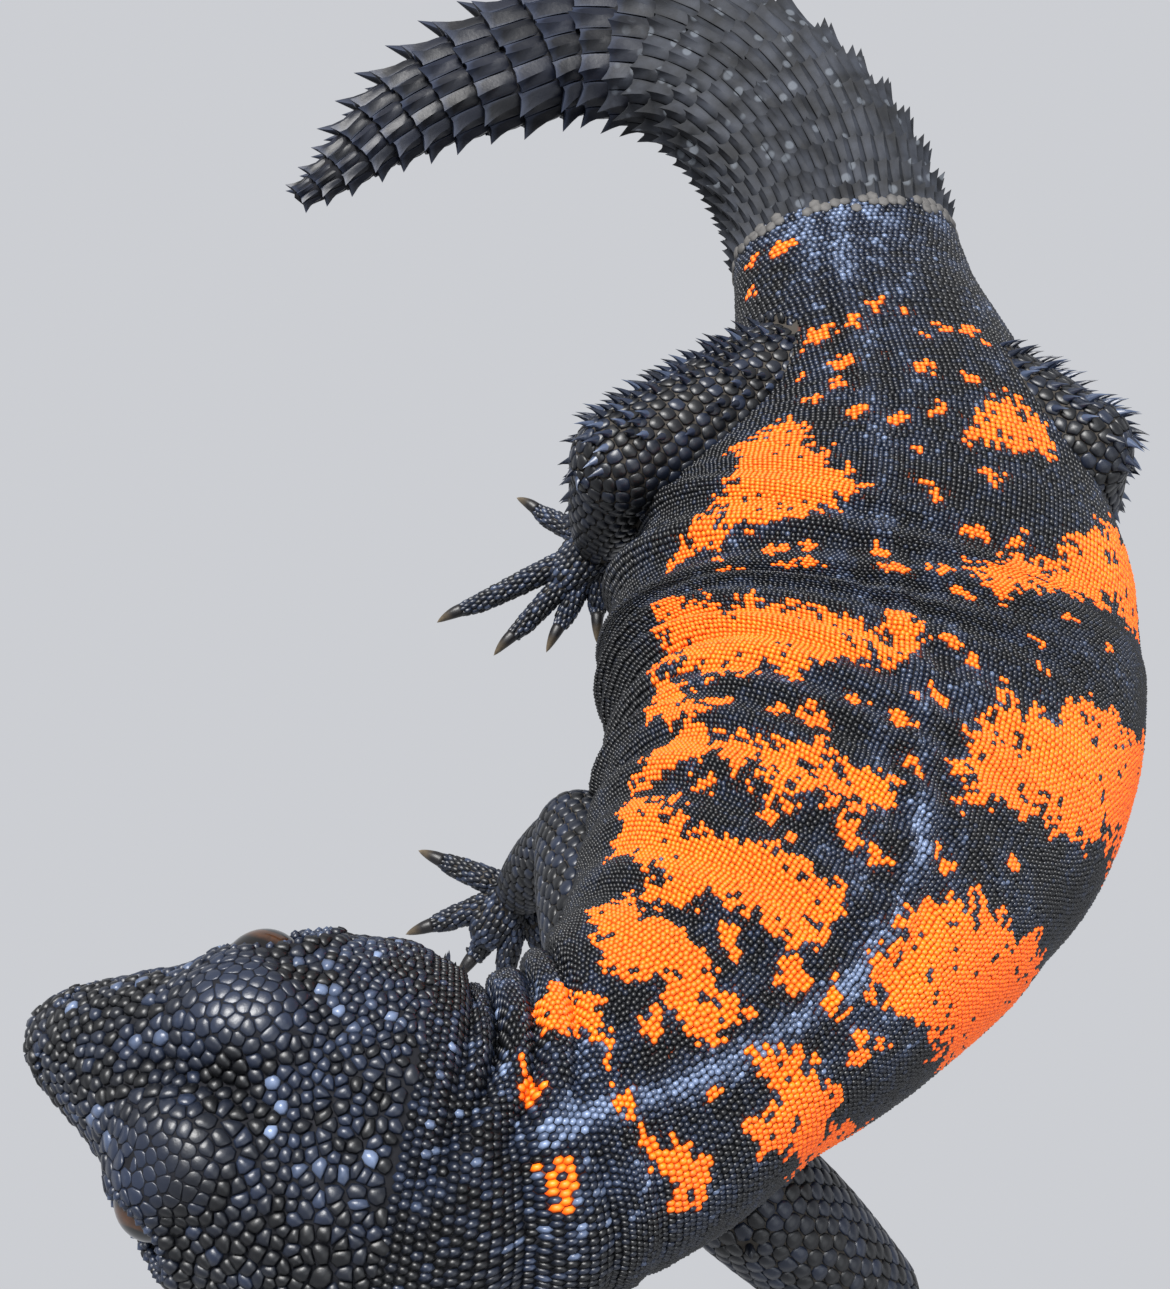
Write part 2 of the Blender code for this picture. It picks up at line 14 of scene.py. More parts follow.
import bpy
import numpy as np
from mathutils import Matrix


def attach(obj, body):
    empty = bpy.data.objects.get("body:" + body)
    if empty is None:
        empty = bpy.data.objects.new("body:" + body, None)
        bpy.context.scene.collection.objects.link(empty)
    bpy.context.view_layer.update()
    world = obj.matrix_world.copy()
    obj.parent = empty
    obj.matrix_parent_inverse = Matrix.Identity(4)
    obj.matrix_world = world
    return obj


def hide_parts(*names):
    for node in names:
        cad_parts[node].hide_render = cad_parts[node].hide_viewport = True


MM = 0.001
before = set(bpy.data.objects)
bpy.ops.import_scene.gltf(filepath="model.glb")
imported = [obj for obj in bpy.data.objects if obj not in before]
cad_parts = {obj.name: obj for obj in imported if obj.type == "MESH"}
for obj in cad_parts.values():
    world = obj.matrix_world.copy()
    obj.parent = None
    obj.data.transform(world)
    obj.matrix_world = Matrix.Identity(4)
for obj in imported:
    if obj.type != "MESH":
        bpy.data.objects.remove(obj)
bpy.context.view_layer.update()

# %% [markdown]
# The photograph looks down on the animal from close by, tilted a little towards its tail, so the head
# is larger in view than the tail. The camera stands where that perspective comes out right. Its sensor
# covers the longer side of the picture, which is the height here.

# %% Camera
PHOTO_HEIGHT = 1289
FOCAL_PIXELS = 1172
CAMERA_PLACE = (-0.042, -0.048, 0.1925)  # metres, as Blender places objects
CAMERA_TILT = math.radians(19)


def add_camera():
    data = bpy.data.cameras.new("camera")
    data.lens = data.sensor_width * FOCAL_PIXELS / PHOTO_HEIGHT
    data.clip_start = 0.005
    camera = bpy.data.objects.new("camera", data)
    camera.location = CAMERA_PLACE
    camera.rotation_euler = (CAMERA_TILT, 0, 0)
    bpy.context.scene.collection.objects.link(camera)
    bpy.context.scene.camera = camera


add_camera()
print("camera at", CAMERA_PLACE)

# %% [markdown]
# The body is one long form along a curved centre line. A point on it has two numbers: how far it is
# from the snout, and its share of the way round, from -1 at the middle of the belly over 0 on the back
# to 1 at the middle of the belly again, rising over the animal's right side. Everything that sits on
# the body, from a scale to an orange patch, is placed by those two numbers, so it follows each bend.
# The line and the girths are those of the solids.

# %% The body's centre line and girth
SPINE = np.array([
    (-96.2, -45.7, 71.5), (-77.1, -51.6, 71.0), (-61.0, -56.7, 70.5), (-52.5, -57.6, 68.3),
    (-44.5, -55.2, 64.2), (-34.4, -49.0, 58.0), (-26.4, -41.3, 51.5), (-18.5, -31.6, 44.0),
    (-12.1, -22.2, 36.5), (-6.2, -12.3, 29.5), (-2.2, -1.6, 23.5), (1.0, 12.3, 20.0),
    (5.4, 26.2, 18.7), (8.0, 42.0, 17.5), (7.6, 58.0, 16.0), (6.4, 76.0, 13.5), (5.2, 92.0, 11.8),
    (1.8, 107.5, 11.0), (-4.7, 121.4, 10.2), (-14.2, 133.6, 9.2), (-28.0, 142.0, 8.2),
    (-45.0, 143.5, 7.4), (-58.0, 138.5, 7.0), (-69.4, 133.3, 6.4), (-78.3, 127.8, 5.6),
    (-84.0, 123.3, 4.8), (-88.8, 118.5, 3.8), (-94.2, 114.2, 2.7), (-98.5, 111.2, 1.9),
])
GIRTH = np.array([  # distance from the snout: half width, rise above the line, drop below it
    (0.0, 0.0, 0.0, 0.0), (0.3, 1.7, 1.6, 1.3), (1.0, 2.9, 2.8, 2.3), (3.0, 4.5, 4.9, 3.8),
    (5.0, 5.6, 6.8, 4.9), (9.0, 7.5, 9.4, 6.4), (13.0, 9.6, 11.5, 7.6), (17.0, 12.2, 13.1, 8.7),
    (20.0, 14.3, 13.8, 9.4), (24.0, 16.4, 14.2, 10.2), (28.0, 17.7, 14.3, 10.9),
    (33.0, 18.3, 14.3, 11.5), (38.0, 17.9, 14.0, 11.9), (44.0, 16.9, 13.4, 12.0),
    (48.0, 16.4, 13.4, 12.0), (56.0, 16.4, 14.2, 12.8), (64.0, 17.4, 15.3, 14.0),
    (72.0, 18.4, 16.8, 15.4), (80.0, 21.3, 18.6, 16.8), (88.0, 24.6, 20.2, 18.2),
    (96.0, 27.7, 21.8, 20.0), (104.0, 30.9, 23.2, 22.0), (112.0, 33.1, 24.8, 23.5),
    (120.0, 36.2, 26.0, 24.0), (128.0, 38.9, 27.0, 24.0), (136.0, 40.7, 27.9, 24.0),
    (146.0, 41.5, 28.4, 24.0), (154.0, 41.1, 28.0, 23.5), (160.0, 39.8, 27.5, 22.5),
    (168.0, 37.2, 26.2, 21.5), (176.0, 33.6, 24.5, 20.5), (184.0, 30.2, 22.6, 19.5),
    (192.0, 27.2, 20.6, 18.5), (200.0, 24.8, 18.5, 17.2), (208.0, 23.0, 16.8, 15.8),
    (216.0, 21.6, 15.0, 14.5), (228.0, 20.6, 13.2, 12.9), (240.0, 19.7, 12.4, 12.2),
    (250.0, 19.7, 12.2, 11.8), (262.0, 19.5, 12.0, 11.2), (274.0, 19.1, 11.6, 10.6),
    (286.0, 18.4, 11.0, 10.0), (298.0, 17.6, 10.3, 9.2), (310.0, 15.8, 9.4, 8.6),
    (322.0, 14.0, 8.5, 8.2), (334.0, 12.0, 7.4, 7.8), (345.0, 9.9, 6.3, 7.0), (352.0, 8.3, 5.4, 6.4),
    (358.0, 6.8, 4.6, 5.6), (364.0, 5.1, 3.7, 4.6), (370.0, 3.5, 2.8, 3.6), (375.0, 2.2, 2.0, 2.8),
    (379.5, 1.1, 1.2, 2.0),
])
SQUARENESS = 2.25  # 2 is an ellipse, more is boxier
HEAD_ROLL = math.radians(12)  # the head leans to its right
HEAD_END, VENT = 44.0, 229.0  # distances from the snout
print("places on the line:", len(SPINE), "girths:", len(GIRTH))

# %% [markdown]
# The tables fix only a few places. Between two rows runs a cubic that has each row's value and a slope
# worked out from its neighbours, so the form has no corners. For the girth the slopes are kept low
# enough that the curve never swings past a row, which would make the body bulge.

# %% Smooth curves through the tables
def hermite(at, values, slope, where):
    """The cubic through each value with each slope."""
    i = np.clip(np.searchsorted(at, where, side="right") - 1, 0, len(at) - 2)
    step = at[i + 1] - at[i]
    t = np.clip((where - at[i]) / step, 0, 1)
    return (values[i] * (1 + 2 * t) * (1 - t) ** 2 + values[i + 1] * t * t * (3 - 2 * t)
            + slope[i] * step * t * (1 - t) ** 2 - slope[i + 1] * step * t * t * (1 - t))


def smooth_table(at, values, where):
    """A smooth curve through a table's rows that never swings past them."""
    rise = np.diff(values) / np.diff(at)
    slope = np.zeros(len(at))
    slope[0], slope[-1] = rise[0], rise[-1]
    same = rise[:-1] * rise[1:] > 0
    slope[1:-1] = np.where(same, 2 * rise[:-1] * rise[1:] / np.where(same, rise[:-1] + rise[1:], 1), 0)
    return hermite(at, values, slope, where)


def unit(v):
    return v / np.maximum(np.linalg.norm(v, axis=-1, keepdims=True), 1e-12)


LINE_POINTS = 3000  # about 0.13 mm apart
CHORD = np.concatenate([[0], np.cumsum(np.linalg.norm(np.diff(SPINE, axis=0), axis=1))])
FINE = np.linspace(0, CHORD[-1], LINE_POINTS)
LINE = np.stack([hermite(CHORD, v, np.gradient(v, CHORD), FINE) for v in SPINE.T], axis=1)
ALONG = np.concatenate([[0], np.cumsum(np.linalg.norm(np.diff(LINE, axis=0), axis=1))])
TAIL_END = float(ALONG[-1])
GIRTH_FINE = np.stack([smooth_table(GIRTH[:, 0], GIRTH[:, k], ALONG) for k in (1, 2, 3)], axis=1)
print("length along the back: %.1f mm" % TAIL_END)

# %% [markdown]
# At each distance the body has a centre, a direction back towards the tail, one to its left and one up.
# The cross section is a superellipse, which is an ellipse with slightly squared shoulders. Its height
# above the centre differs from its depth below. What reaches below the floor is pressed flat on it.

# %% Points on the body
DIRECTION_STEP = 1.5  # mm to each side, over which the line's direction is measured
ROLL_FADE = 30  # mm behind the head, over which its lean dies out


def body_frame(s):
    """Centre, back, left and up at distance s; left and up lean with the head's roll."""
    def at(x):
        return np.stack([np.interp(x, ALONG, c) for c in LINE.T], axis=-1)
    back = unit(at(np.minimum(s + DIRECTION_STEP, TAIL_END)) - at(np.maximum(s - DIRECTION_STEP, 0)))
    left = unit(np.stack([back[..., 1], -back[..., 0], np.zeros(s.shape)], axis=-1))
    up = np.cross(left, back)
    roll = (HEAD_ROLL * (1 - np.clip((s - HEAD_END) / ROLL_FADE, 0, 1)))[..., None]
    return at(s), back, left * np.cos(roll) + up * np.sin(roll), up * np.cos(roll) - left * np.sin(roll)


def girths(s):
    """Half width, rise above the line and drop below it, at distance s."""
    return [np.interp(s, ALONG, g) for g in GIRTH_FINE.T]


def outline(s, angle):
    """Sideways and upward reach of the superellipse at an angle: 0 is left, a quarter turn the back."""
    width, rise, drop = girths(s)
    c, k = np.cos(angle), np.sin(angle)
    side = np.sign(c) * np.abs(c) ** (2 / SQUARENESS) * width
    height = np.sign(k) * np.abs(k) ** (2 / SQUARENESS) * np.where(k > 0, rise, drop)
    return side, height


print("at the belly: half width %.0f mm, rise %.0f mm, drop %.0f mm" % tuple(girths(146.0)))

# %% [markdown]
# Shares of the way round have to be even along the skin, or scales would crowd where the outline bends
# sharply. So the outline is walked once in steps of one degree at every half millimetre of the body, and
# the angles that lie at even shares of the walk go into a table. Looking it up is quick.

# %% Even shares of the way round
TABLE_STEP = 0.5  # mm along the body from one row of the table to the next
TABLE_SHARES = 80  # entries in a row for each half of the way round


def round_table():
    """The angle for each distance and share round, found by walking the outline from the back down."""
    s = np.arange(0, TAIL_END + TABLE_STEP, TABLE_STEP)
    degrees = np.arange(-90.0, 271.0)
    angle, at_back = np.radians(degrees), int(np.argmin(np.abs(degrees - 90)))
    side, height = outline(s[:, None] + 0 * angle, angle[None, :] + 0 * s[:, None])
    step = np.hypot(np.diff(side, axis=1), np.diff(height, axis=1)) + 1e-6
    walked = np.concatenate([np.zeros((len(s), 1)), np.cumsum(step, axis=1)], axis=1)
    walked -= walked[:, at_back:at_back + 1]
    half = np.stack([-walked[:, 0], walked[:, -1]], axis=1)
    share = np.where(walked < 0, walked / half[:, :1], walked / half[:, 1:])
    steps = np.linspace(-1, 1, 2 * TABLE_SHARES + 1)
    return s, steps, np.stack([np.interp(steps, row, angle) for row in share]), half.mean(axis=1)


TABLE_S, TABLE_Q, TABLE_ANGLE, TABLE_HALF = round_table()


def angle_at(s, q):
    """Looks the angle up between the four nearest entries of the table."""
    x = np.clip(s / TABLE_STEP, 0, len(TABLE_S) - 1.001)
    y = np.clip((q + 1) % 2 * TABLE_SHARES, 0, 2 * TABLE_SHARES - 0.001)
    i, j = x.astype(int), y.astype(int)
    u, v = x - i, y - j
    return ((TABLE_ANGLE[i, j] * (1 - v) + TABLE_ANGLE[i, j + 1] * v) * (1 - u)
            + (TABLE_ANGLE[i + 1, j] * (1 - v) + TABLE_ANGLE[i + 1, j + 1] * v) * u)


def share_of(s, angle):
    """The other way round: the share for each angle, from the row of the table at its distance."""
    q = np.zeros(len(s))
    row = np.clip((s / TABLE_STEP).astype(int), 0, len(TABLE_S) - 1)
    for k in np.unique(row):
        chosen = row == k
        q[chosen] = np.interp(angle[chosen], TABLE_ANGLE[k], TABLE_Q)
    return q


def body_sides(s, q):
    """Sideways and upward place of points on the outline, from the body's centre."""
    return outline(s, angle_at(s, q))


def half_girth(s):
    """Distance over the skin from the back to the belly's middle line, the mean of both sides."""
    return np.interp(s, TABLE_S, TABLE_HALF)


print("half girth at the belly: %.0f mm" % half_girth(146.0))

# %% [markdown]
# The head has an eye, an ear and a nostril on each side, and a dome over each eye. All are placed by the
# distance from the snout and the height from the head's middle. Two curves shape everything below: a
# bell, which is highest at its centre, and a ramp, which leads smoothly from 0 to 1.

# %% Openings and domes of the head
EYE = dict(s=20.5, side=10.2, up=6.6, radius=4.2)
EYE_LONG, EYE_TALL = 1.15, 0.92  # the opening's length and height, in shares of a circle's
EAR = dict(s=40.5, up=1.6)
EAR_LONG, EAR_TALL = 0.5, 1.15
NOSTRIL = dict(s=4.6, up=4.6)
DOME_SHIFT = 1.0  # the head is seen rolled, so its domes lie a little to its left


def bump(x, centre, spread):
    return np.exp(-(((x - centre) / spread) ** 2))


def ramp(x, start, end):
    """0 before start, 1 after end, smooth between; start may be the larger."""
    t = np.clip((x - start) / (end - start), 0, 1)
    return t * t * (3 - 2 * t)


def eye_distance(s, up):
    """Distance from the middle of the eye's opening, longer fore and aft."""
    return np.hypot((s - EYE["s"]) / EYE_LONG, (up - EYE["up"]) / EYE_TALL)


def ear_distance(s, up):
    """Distance from the middle of the ear's opening, which is tall and narrow."""
    return np.hypot((s - EAR["s"]) / EAR_LONG, (up - EAR["up"]) / EAR_TALL)


def nostril_distance(s, side, up):
    """Distance from the middle of the nostril, with the ridge of the snout kept out."""
    return np.hypot(s - NOSTRIL["s"], up - NOSTRIL["up"]) + 5 * (np.abs(side) < 2.5)


def dome_share(s, side):
    """1 on the domes over the eyes and 0 off them, flat on top and steep at the edge."""
    reach = ((s - EYE["s"] - 1.0) / 6.4) ** 2 + ((np.abs(side - DOME_SHIFT) - 6.4) / 4.6) ** 2
    return np.exp(-reach ** 2)


print("eye at %.1f mm, ear at %.1f mm, nostril at %.1f mm" % (EYE["s"], EAR["s"], NOSTRIL["s"]))

# %% [markdown]
# The head isn't smooth. Domes, lids, cheeks, the line of the mouth and the openings are each a small
# height in millimetres, added along the outward direction. They are built of bells and ramps, because
# those join with no edge.

# %% Relief of the head
def head_relief(s, side, up):
    """Brow domes, lids, cheeks, mouth, nape creases and the pits of eye, ear and nostril."""
    top = up > 0
    wide = np.abs(side)
    domes = 2.3 * dome_share(s, side) * top
    valley = -1.2 * bump(s, 21, 8) * bump(side, DOME_SHIFT, 1.8) * top
    eye = eye_distance(s, up)
    outer = wide > 8
    lids = (0.9 * bump(eye, 3.8, 1.3) - 2.6 * ramp(eye, 2.8, 2.1)) * outer
    cheeks = 1.1 * bump(s, 33, 6) * bump(up, -2, 6)
    mouth = -0.8 * bump(up, 0, 0.7) * ramp(s, 31, 28)
    nape = -1.2 * bump(s, 46, 2.2) * top
    ear = -2.2 * ramp(ear_distance(s, up), 3.2, 2.0) * (wide > 12)
    nostril = -1.0 * ramp(nostril_distance(s, side, up), 1.1, 0.5)
    return domes + valley + lids + cheeks + mouth + nape + ear + nostril


print("height of the dome over an eye: %.1f mm" % head_relief(EYE["s"], 6.4 + DOME_SHIFT, 10.0))

# %% [markdown]
# The right flank, on the inside of the bend, is thrown into pleats, and low waves run from them over the
# back. Creases run obliquely over the nape, where the head is turned. A cosine gives each its even
# troughs, and a slow sine makes it wander. All of them press inwards only, so the outline holds.

# %% Folds and ridge
PLEAT_SPACING, PLEAT_DEPTH = 9.4, 2.6
FINE_PLEAT_SPACING, FINE_PLEAT_DEPTH = 3.9, 0.6
WAVE_SPACING, WAVE_DEPTH = 7.2, 0.85
NECK_HALF_GIRTH = 27
RIGHT_CREASES = (  # start, slope, depth
    (40.8, 0.22, 1.5), (41.8, 0.78, 2.2), (46.5, 0.95, 1.9), (51.5, 1.0, 1.4),
)
LEFT_CREASES = ((46.5, 1.0, 0.8), (51.5, 0.9, 0.6), (56, 0.9, 0.4))  # place, spread, depth
RIDGE_S = np.array([40, 54, 63, 74, 81, 88, 96, 102, 116, 133, 158, 179, 204, 217, 235.0])
RIDGE_V = np.array([0, -2, -4, -7, -9, -10, -9, -7, -2, 1, 5, 8, 6, 5, 3.0])


def troughs(distance, spacing):
    """A cosine that is 0 at distance 0 and 1 half a spacing on."""
    return 0.5 - 0.5 * np.cos(2 * np.pi * distance / spacing)


def flank_folds(s, q):
    """Depth of the right flank's pleats, and of the waves that run from them over the back."""
    wander = s + 2.2 * np.sin(4 * q) + 1.4 * np.sin(s / 9.0)
    deep = PLEAT_DEPTH * troughs(wander, PLEAT_SPACING) ** 0.7
    fine = FINE_PLEAT_DEPTH * troughs(wander + 3 * q, FINE_PLEAT_SPACING)
    on_flank = ramp(s, 84, 104) * ramp(s, 170, 150) * ramp(q, 0.18, 0.45) * ramp(q, 0.98, 0.8)
    on_back = ramp(s, 62, 80) * ramp(s, 175, 150) * ramp(np.abs(q), 0.7, 0.4) * ramp(q, -0.35, 0.1)
    return on_flank * (deep + fine) + on_back * WAVE_DEPTH * troughs(wander, WAVE_SPACING)


def nape_creases(s, q):
    """Depth of the creases behind the head: slanting on the right, straight across on the left."""
    v = NECK_HALF_GIRTH * q
    right = sum(depth * bump(s - start - slope * v, 0, 1.15) for start, slope, depth in RIGHT_CREASES)
    left = sum(depth * bump(s, place, spread) for place, spread, depth in LEFT_CREASES)
    return right * ramp(v, -4, 3) * ramp(v, 30, 22) + left * ramp(v, 2, -5)


def ridge(s, v):
    """The low double ridge over the vertebrae, with a shallow groove on each side."""
    off = v - np.interp(s, RIDGE_S, RIDGE_V)
    strength = ramp(s, 44, 60) * ramp(s, 232, 205)
    return strength * (0.35 * bump(np.abs(off), 1.1, 0.8) - 0.3 * bump(np.abs(off), 3.6, 1.2))


print("deepest fold on the right flank: %.1f mm" % flank_folds(np.arange(100, 150.0), 0.5).max())

# %% [markdown]
# One function now gives any point of the body from its two numbers, as the outline with relief, folds
# and ridge on it. Scales, plates and the skin below them all ask it, so they always fit together.

# %% The body's surface
def body_skin(s, q, lift=0.0):
    """Centre plus outline at the share's angle, pushed out by relief and lift, held above the floor."""
    s, q = np.broadcast_arrays(np.asarray(s, float), (np.asarray(q, float) + 1) % 2 - 1)
    centre, _, left, up = body_frame(s)
    side, height = body_sides(s, q)
    length = np.hypot(side, height) + 1e-9
    out = np.where(s < 60, head_relief(s, side, height), 0) + ridge(s, q * half_girth(s)) + lift
    out = np.maximum(out - flank_folds(s, q) - nape_creases(s, q), -0.8 * length)
    side, height = side * (1 + out / length), height * (1 + out / length)
    points = centre + left * side[..., None] + up * height[..., None]
    points[..., 2] = np.maximum(points[..., 2], 0)
    return points


print("highest point of the back at the belly: %.0f mm" % body_skin(146.0, 0.0)[2])

# %% [markdown]
# The legs have the joints and radii of the solids. Upper and lower limb run from joint to joint, a foot
# starts at the last one, and its five toes end at the places given. A toe's height and radius are set at
# six shares of its length: it leaves the knuckle high and rests on its pad.

# %% Measures of the legs
LEGS = {
    "arm_right": dict(
        joints=((-38.5, -37.5, 47.0), (-42.8, -19.8, 30.0), (-52.3, -25.0, 7.8)),
        radii=(8.4, 6.3, 4.0), bulge=(0.6, 0.9), names=("upper_arm", "forearm", "hand"),
        toes=((-69.0, -17.6), (-70.4, -30.8), (-62.4, -38.0), (-55.5, -41.5), (-46.0, -38.5)),
    ),
    "arm_left": dict(
        joints=((-24.0, -62.5, 44.5), (-7.0, -76.5, 30.0), (-13.5, -87.0, 7.8)),
        radii=(8.4, 6.3, 4.0), bulge=(0.6, 0.9), names=("upper_arm", "forearm", "hand"),
        toes=((-1.0, -97.5), (-9.5, -107.5), (-21.5, -109.0), (-31.5, -102.0), (-30.0, -89.5)),
    ),
    "leg_right": dict(
        joints=((-8.0, 57.0, 19.0), (-36.0, 38.5, 28.5), (-39.5, 34.5, 8.2)),
        radii=(12.4, 8.8, 4.8), bulge=(0.6, 0.8), names=("thigh", "shank", "foot"),
        toes=((-54.2, 46.0), (-67.6, 22.2), (-57.6, 16.2), (-48.6, 16.8), (-40.0, 18.6)),
    ),
    "leg_left": dict(
        joints=((16.0, 57.0, 19.0), (34.8, 40.5, 28.5), (41.5, 33.0, 8.2)),
        radii=(12.4, 8.8, 4.8), bulge=(0.6, 0.8), names=("thigh", "shank", "foot"),
        toes=((54.0, 27.0), (53.5, 12.4), (48.0, 9.8), (41.8, 12.0), (35.5, 21.0)),
    ),
}
CLAW_LENGTH = {"hand": 4.6, "foot": 4.8}
TOE_SHARES = np.array([0.0, 0.25, 0.5, 0.72, 0.88, 1.0])  # along a toe, where its height and radius are set
TOE_RADII = np.array([2.3, 2.25, 2.1, 1.95, 1.75, 1.35])
KNUCKLE_RISE = np.array([1, 0.98, 0.72, 0, 0, 0])  # times the knuckle's height
PAD_RISE = np.array([0, 0, 0, 2.1, 1.5, 1.9])
print("legs:", ", ".join(LEGS))

# %% [markdown]
# Each leg is a row of rounded, tapering lengths: upper limb, lower limb, foot and five toes. A length is
# turned round its own axis: a profile runs along it, from a round end over a slight swelling to the
# other round end. A point on it is given by the distance along that profile and the share of a turn
# round it. A toe is the same, but its axis is a curve over the knuckle and down.

# %% One length of a limb
class Length:
    """A tapering length of limb with round ends, or a toe along a curved line."""

    def __init__(self, name, line, radii, flat=1.0):
        self.name, self.flat = name, flat
        self.line = np.asarray(line, float)
        self.x = np.concatenate([[0], np.cumsum(np.linalg.norm(np.diff(self.line, axis=0), axis=1))])
        first, last = radii[0], radii[-1]
        turn = np.radians(np.arange(90, 0, -10))
        at = [-first * np.sin(turn), self.x, self.x[-1] + last * np.sin(turn[::-1])]
        reach = [first * np.cos(turn), np.asarray(radii, float), last * np.cos(turn[::-1])]
        self.px, self.pr = np.concatenate(at), np.concatenate(reach)
        steps = np.hypot(np.diff(self.px), np.diff(self.pr))
        self.walk = np.concatenate([[0], np.cumsum(steps)])
        self.total = float(self.walk[-1])

    def axis(self, x):
        """Centre and directions at distance x; before and after the line it runs straight on."""
        inner = np.clip(x, 0, self.x[-1])
        centre = np.stack([np.interp(inner, self.x, c) for c in self.line.T], axis=-1)
        a, b = np.clip(inner - 0.4, 0, self.x[-1]), np.clip(inner + 0.4, 0, self.x[-1])
        ahead = unit(np.stack([np.interp(b, self.x, c) - np.interp(a, self.x, c) for c in self.line.T],
                              axis=-1))
        guide = np.where(np.abs(ahead[..., 2:]) < 0.9, [0, 0, 1.0], [0, 1.0, 0])
        side = unit(np.cross(guide, ahead))
        return centre + ahead * (x - inner)[..., None], ahead, side, np.cross(ahead, side)

    def skin(self, a, q, lift=0.0):
        """Point at profile distance a and share q of a turn, clockwise seen from the root."""
        a, q = np.broadcast_arrays(np.asarray(a, float), np.asarray(q, float))
        x, r = np.interp(a, self.walk, self.px), np.interp(a, self.walk, self.pr)
        centre, ahead, side, up = self.axis(x)
        turn = -2 * np.pi * q
        out = side * np.cos(turn)[..., None] + up * (self.flat * np.sin(turn))[..., None]
        ends = (x < 0) * -1.0 + (x > self.x[-1]) * 1.0
        points = centre + out * (np.maximum(r + lift, 0))[..., None] + ahead * (ends * lift)[..., None]
        points[..., 2] = np.maximum(points[..., 2], 0)
        return points

    def holds(self, points, margin=0.0):
        """Which points lie inside this length, by their distance from its axis."""
        best = np.full(len(points), np.inf)
        for p, q, i in zip(self.line[:-1], self.line[1:], range(len(self.line) - 1)):
            step = q - p
            t = np.clip((points - p) @ step / (step @ step), 0, 1)
            near = np.linalg.norm(points - p - t[:, None] * step, axis=1)
            x = self.x[i] + t * (self.x[i + 1] - self.x[i])
            best = np.minimum(best, near - np.interp(x, self.px, self.pr))
        return best < -margin


print("the right thigh without its swell: %.0f mm along its profile" % Length(
    "thigh", LEGS["leg_right"]["joints"][:2], LEGS["leg_right"]["radii"][:2]).total)

# %% [markdown]
# A leg is put together from such lengths. The upper and the lower limb are straight with a swell in the
# middle. A hand or foot is a short, flattened length from the ankle to the knuckles. Each toe starts
# inside it, runs over its knuckle and ends where its claw begins.

# %% The four legs
SHANK_STEP = 0.8  # a lower limb starts this much thinner than the upper one ends
FOOT = dict(drop=2.4, reach=7.0, knuckles=4.0, taper=0.86, bulge=0.3, flat=0.82)
TOE_ROOT, TOE_HEIGHT = 2.5, 4.4  # distance of a toe's root from the ankle, height of its knuckle


def straight(name, start, end, radii, bulge, flat=1.0):
    """A straight length whose radius swells by a sine between its ends."""
    t = np.linspace(0, 1, 9)
    start, end = np.asarray(start, float), np.asarray(end, float)
    return Length(name, start + (end - start) * t[:, None],
                  radii[0] + (radii[1] - radii[0]) * t + bulge * np.sin(np.pi * t), flat)


def toe_line(root, tip):
    """From inside the foot, over the knuckle, down to the pad and the end."""
    flat = root[:2] + TOE_SHARES[:, None] * (tip[:2] - root[:2])
    return np.column_stack([flat, TOE_HEIGHT * KNUCKLE_RISE + PAD_RISE])


def leg_lengths(name, leg):
    """All the lengths of one leg, from the body out, with its toes last."""
    word = name.split("_")[1]
    root, bend, ankle = (np.array(j) for j in leg["joints"])
    r_root, r_bend, r_ankle = leg["radii"]
    upper, lower, kind = leg["names"]
    towards = unit(np.mean(leg["toes"][1:4], axis=0) - ankle[:2])
    made = [
        straight(f"{upper}_{word}", root, bend, (r_root, r_bend), leg["bulge"][0]),
        straight(f"{lower}_{word}", bend, ankle, (r_bend - SHANK_STEP, r_ankle), leg["bulge"][1]),
        straight(f"{kind}_{word}", [*ankle[:2], ankle[2] - FOOT["drop"]],
                 [*(ankle[:2] + towards * FOOT["reach"]), FOOT["knuckles"]],
                 (r_ankle, r_ankle * FOOT["taper"]), FOOT["bulge"], FOOT["flat"]),
    ]
    for i, tip in enumerate(np.array(leg["toes"]), start=1):
        start = ankle[:2] + unit(tip - ankle[:2]) * TOE_ROOT
        end = tip - unit(tip - start) * CLAW_LENGTH[kind]
        made.append(Length(f"toe_{kind}_{word}_{i}", toe_line(start, end), TOE_RADII))
    return made


LIMBS = {name: leg_lengths(name, leg) for name, leg in LEGS.items()}
LIMB_LENGTHS = [part for lengths in LIMBS.values() for part in lengths]
LIMB_INDEX = {part.name: i for i, part in enumerate(LIMB_LENGTHS)}
print("lengths of limb:", len(LIMB_LENGTHS))

# %% [markdown]
# A mesh with hundreds of thousands of corners can't be built face by face in Python in good time. One
# helper takes whole arrays: the points, the number of corners of each face, and the corners' indices in
# one long row. It writes them with foreach_set, and adds the values that the materials read, such as
# how orange a scale is. The map named OFBake is an unwrap: the body is one wide field, and each length
# of limb has a small field of its own below it.

# %% Making a mesh from arrays
COLLECTION = bpy.context.scene.collection
BODY_FIELD = (0.01, 0.42, 0.98, 0.57)  # left, bottom, width and height on the unwrap
LIMB_FIELD = (0.01, 0.01, 0.98, 0.39)  # shared by all lengths of limb, in columns and rows
LIMB_COLUMNS, LIMB_ROWS = 8, 4
LIMB_MARGIN = 0.08  # share of a small field that stays empty on each side
PATCH_SIZE = 0.003  # of one scale on the unwrap


